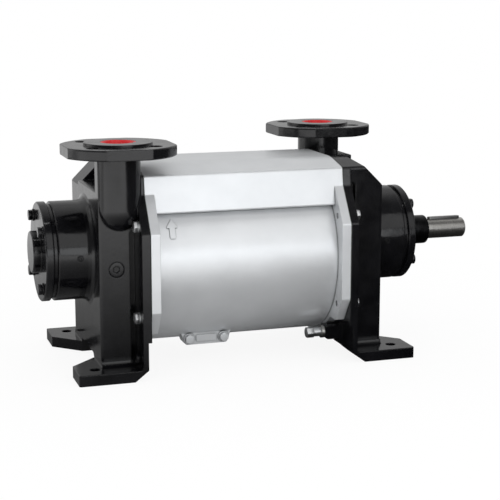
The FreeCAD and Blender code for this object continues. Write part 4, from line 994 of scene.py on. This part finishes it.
def shaft_sleeve():
    """Black sleeve over the shaft, turned about the shaft's axis."""
    low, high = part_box("drive_end_sleeve")
    outer = (high.z - low.z) / 2
    length = high.x - low.x
    pattern = turned("sleeve", [
        (sleeve_bore, 0, 0),
        (outer, 0, sleeve_back_softness),
        (outer, length, sleeve_nose),
        (sleeve_bore, length, 0),
    ])
    places = [((low.x, (low.y + high.y) / 2, (low.z + high.z) / 2), (1, 0, 0))]
    finish_copies("drive_end_sleeve_blackened", pattern, places, "black_steel", "rotor", "drive_end_sleeve")


shaft_sleeve()

# %% [markdown]
# ## Coupling key
#
# The key in the shaft end has round ends and broken edges. Two half discs and a bar could be joined,
# but a cube whose four upright edges are bevelled until they nearly meet has the same ends in one step.
# A fine bevel then takes the sharpness off its top. Its slot is the ground steel of the shaft, and a
# darker finish, a painted shade for the shade and dark reflection the key sits in, goes on last.

# %% Coupling key
key_end_share = 0.495
key_end_segments = 10
key_edge = 0.35 * mm


def coupling_key():
    """Round-ended key with broken edges."""
    low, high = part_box("coupling_key")
    size = high - low
    deselect_all()
    bpy.ops.mesh.primitive_cube_add(size=1, location=(low + high) / 2, scale=size)
    key = bpy.context.object
    key.name = "coupling_key_ground"
    freeze_place(key)
    edit(key)
    bpy.ops.mesh.select_mode(type="EDGE")
    bpy.ops.mesh.select_all(action="DESELECT")
    leave_edit()
    for edge in key.data.edges:
        ends = [key.data.vertices[index].co for index in edge.vertices]
        edge.select = abs(ends[0].z - ends[1].z) > size.z / 2
    bpy.ops.object.mode_set(mode="EDIT")
    bpy.ops.mesh.bevel(offset=key_end_share * size.y, segments=key_end_segments, affect="EDGES")
    leave_edit()
    break_edges(key, key_edge)
    finish_piece(key, "ground_steel", "rotor", "coupling_key")
    # painted shade: a darker steel colour stands in for the shade and dark reflection on the key
    paint(key, finishes["key_steel_painted_shade"])


coupling_key()

# %% [markdown]
# ## Floor, light and background
#
# Metal shows what stands around it, so the studio matters as much as the paint. The pump stands on a
# white table in a white room. Cards and curtains could shape what the paint sees, but a node graph can
# answer each kind of ray by itself: Light Path says whether a ray comes from the camera or from a
# glossy surface. The graphs need two more helpers, for a step of arithmetic and for a blend of two
# numbers.

# %% Arithmetic helpers
def join_or_set(tree, socket, source):
    """Give a socket a number, or join it to another node's output."""
    if isinstance(source, (int, float)):
        socket.default_value = source
    else:
        tree.links.new(source, socket)


def calculate(tree, operation, first, second):
    """One step of arithmetic on two sockets, or on a socket and a number."""
    made = tree.nodes.new("ShaderNodeMath")
    made.operation = operation
    join_or_set(tree, made.inputs[0], first)
    join_or_set(tree, made.inputs[1], second)
    return made.outputs["Value"]


def choose(tree, factor, first, second):
    """Blend of two numbers or sockets by a factor from 0 to 1."""
    made = tree.nodes.new("ShaderNodeMix")
    tree.links.new(factor, made.inputs["Factor"])
    join_or_set(tree, made.inputs["A"], first)
    join_or_set(tree, made.inputs["B"], second)
    return made.outputs["Result"]


print("arithmetic helpers ready")

# %% [markdown]
# In the paint the table is seen at a low angle: dark close under the pump, bright further out, unlit
# past its slanting right-hand edge, and dimmer behind the pump. The place on the floor gives each of
# these, and their product is the brightness. Without it the black casings would look grey and the
# barrel flat.

# %% Table as gloss sees it
table_near = 0.15
table_far = 1.5
table_start = 0.24
table_end = 1.1
table_side_slope = 0.36
lit_until = -0.05
unlit_from = 0.06
unlit_level = 0.04
back_start = 0.0
back_end = 0.3
back_level = 0.5


def table_level(tree, place, distance):
    """Brightness of the table in a reflection, from the place on it and its distance from the pump."""
    split = tree.nodes.new("ShaderNodeSeparateXYZ")
    tree.links.new(place, split.inputs["Vector"])
    depth = calculate(tree, "ABSOLUTE", split.outputs["Y"], 0)
    slant = calculate(tree, "MULTIPLY", depth, table_side_slope)
    past_edge = calculate(tree, "SUBTRACT", split.outputs["X"], slant)
    outward = spread(tree, distance, table_near, table_far, table_start, table_end)
    lit = spread(tree, past_edge, 1.0, unlit_level, lit_until, unlit_from)
    behind = spread(tree, split.outputs["Y"], 1.0, back_level, back_start, back_end)
    return calculate(tree, "MULTIPLY", calculate(tree, "MULTIPLY", outward, lit), behind)


print("the table rises from", table_near, "to", table_far)

# %% [markdown]
# To the camera the table is plain white with a faint shadow. Near the pump a small share of the lit
# floor is left in, which is the shadow, and further out the white takes over. A floor lit to white
# would need more light on the pump too, so the white is mixed in by the kind of ray instead.

# %% Floor
floor_size = 14.0
floor_colour = (0.80, 0.80, 0.80)
floor_roughness = 0.7
floor_shine = 0.2
near_share = 0.90
shadow_reach = 0.42
white_reach = 0.8


def floor_material():
    """Lit floor with a white one over it, for the camera and for gloss."""
    material = bpy.data.materials.new("pale_floor")
    material.use_nodes = True
    tree = material.node_tree
    shader = tree.nodes["Principled BSDF"]
    shader.inputs["Base Color"].default_value = (*floor_colour, 1)
    shader.inputs["Roughness"].default_value = floor_roughness
    shader.inputs["Specular IOR Level"].default_value = floor_shine
    place = tree.nodes.new("ShaderNodeTexCoord").outputs["Object"]
    measured = tree.nodes.new("ShaderNodeVectorMath")
    measured.operation = "LENGTH"
    tree.links.new(place, measured.inputs[0])
    distance = measured.outputs["Value"]
    path = tree.nodes.new("ShaderNodeLightPath")
    glossy = path.outputs["Is Glossy Ray"]
    white_share = spread(tree, distance, near_share, 1.0, shadow_reach, white_reach)
    camera_share = calculate(tree, "MULTIPLY", white_share, path.outputs["Is Camera Ray"])
    white = tree.nodes.new("ShaderNodeEmission")
    strength = choose(tree, glossy, 1.0, table_level(tree, place, distance))
    tree.links.new(strength, white.inputs["Strength"])
    mix = tree.nodes.new("ShaderNodeMixShader")
    tree.links.new(calculate(tree, "MAXIMUM", camera_share, glossy), mix.inputs["Fac"])
    tree.links.new(shader.outputs["BSDF"], mix.inputs[1])
    tree.links.new(white.outputs["Emission"], mix.inputs[2])
    tree.links.new(mix.outputs["Shader"], tree.nodes["Material Output"].inputs["Surface"])
    return material


def studio_floor():
    """Pale floor that fades to the white background."""
    deselect_all()
    bpy.ops.mesh.primitive_plane_add(size=floor_size, location=(0, 0, 0))
    floor = bpy.context.object
    floor.name = "studio_floor"
    paint(floor, floor_material())
    print("floor", floor_size, "m wide")


studio_floor()

# %% [markdown]
# The lamps are soft boxes, because big lamps at a modest level are kinder to metal than small bright
# ones. Two stand in front, a little to the right: a low and slightly cool one draws the bright band on
# the barrel, and a large one above it lights the sloping panel. A dim box behind and above gives the
# duct its grey. A narrow strip overhead draws thin catch lights on the black edges, and a box on the
# left lights the faces of the free end.

# %% Lamps
pump_middle = Vector((0, 0, 0.16))
cool_white = (0.96, 0.98, 1.0)


def soft_box(name, azimuth, elevation, distance, size, power, colour=(1, 1, 1)):
    """Rectangular lamp that looks at the pump. Azimuth 0 is in front and grows to the right."""
    turn = math.radians(azimuth)
    lift = math.radians(elevation)
    level = math.cos(lift)
    direction = Vector((math.sin(turn) * level, -math.cos(turn) * level, math.sin(lift)))
    data = bpy.data.lights.new(name, "AREA")
    data.shape = "RECTANGLE"
    data.size, data.size_y = size
    data.energy = power
    data.color = colour
    lamp = bpy.data.objects.new(name, data)
    lamp.location = pump_middle + direction * distance
    lamp.rotation_euler = direction.to_track_quat("Z", "Y").to_euler()
    scene.collection.objects.link(lamp)
    print(name, "at azimuth", azimuth, "and elevation", elevation)


soft_box("low_box", azimuth=12, elevation=7, distance=2.4, size=(1.4, 0.6), power=5.4, colour=cool_white)
soft_box("high_box", azimuth=8, elevation=33, distance=2.4, size=(2.2, 1.5), power=9.6)
soft_box("top_box", azimuth=170, elevation=66, distance=2.2, size=(2.0, 1.4), power=0.8)
soft_box("edge_box", azimuth=-4, elevation=76, distance=2.0, size=(1.6, 0.06), power=2.4)
soft_box("left_box", azimuth=-118, elevation=14, distance=2.3, size=(1.2, 1.4), power=4.2)

# %% [markdown]
# The world has three answers. A camera ray sees white, and so does one that has passed through
# something clear. A mirror ray sees the room, which is bright at the back and dim in front. All other
# rays see an even white, which is the soft fill. Light Path tells them apart, and the direction of the
# ray tells front from back. One plain colour would be simpler, but then the black paint would have
# nothing to mirror.

# %% World
fill_level = 1.12
room_front = 0.10
room_back = 0.52
dim_until = -0.15
bright_from = 0.45


def studio_world():
    """White to the camera, a graded room to mirrors, an even fill to the rest."""
    world = bpy.data.worlds.new("studio_world")
    scene.world = world
    world.use_nodes = True
    tree = world.node_tree
    background = tree.nodes["Background"]
    direction = tree.nodes.new("ShaderNodeTexCoord").outputs["Generated"]
    split = tree.nodes.new("ShaderNodeSeparateXYZ")
    tree.links.new(direction, split.inputs["Vector"])
    room = spread(tree, split.outputs["Y"], room_front, room_back, dim_until, bright_from)
    path = tree.nodes.new("ShaderNodeLightPath")
    mirror = choose(tree, path.outputs["Is Glossy Ray"], fill_level, room)
    shown = calculate(tree, "MAXIMUM", path.outputs["Is Camera Ray"], path.outputs["Is Transmission Ray"])
    tree.links.new(choose(tree, shown, mirror, 1.0), background.inputs["Strength"])
    background.inputs["Color"].default_value = (1, 1, 1, 1)
    print("world fill", fill_level)


studio_world()
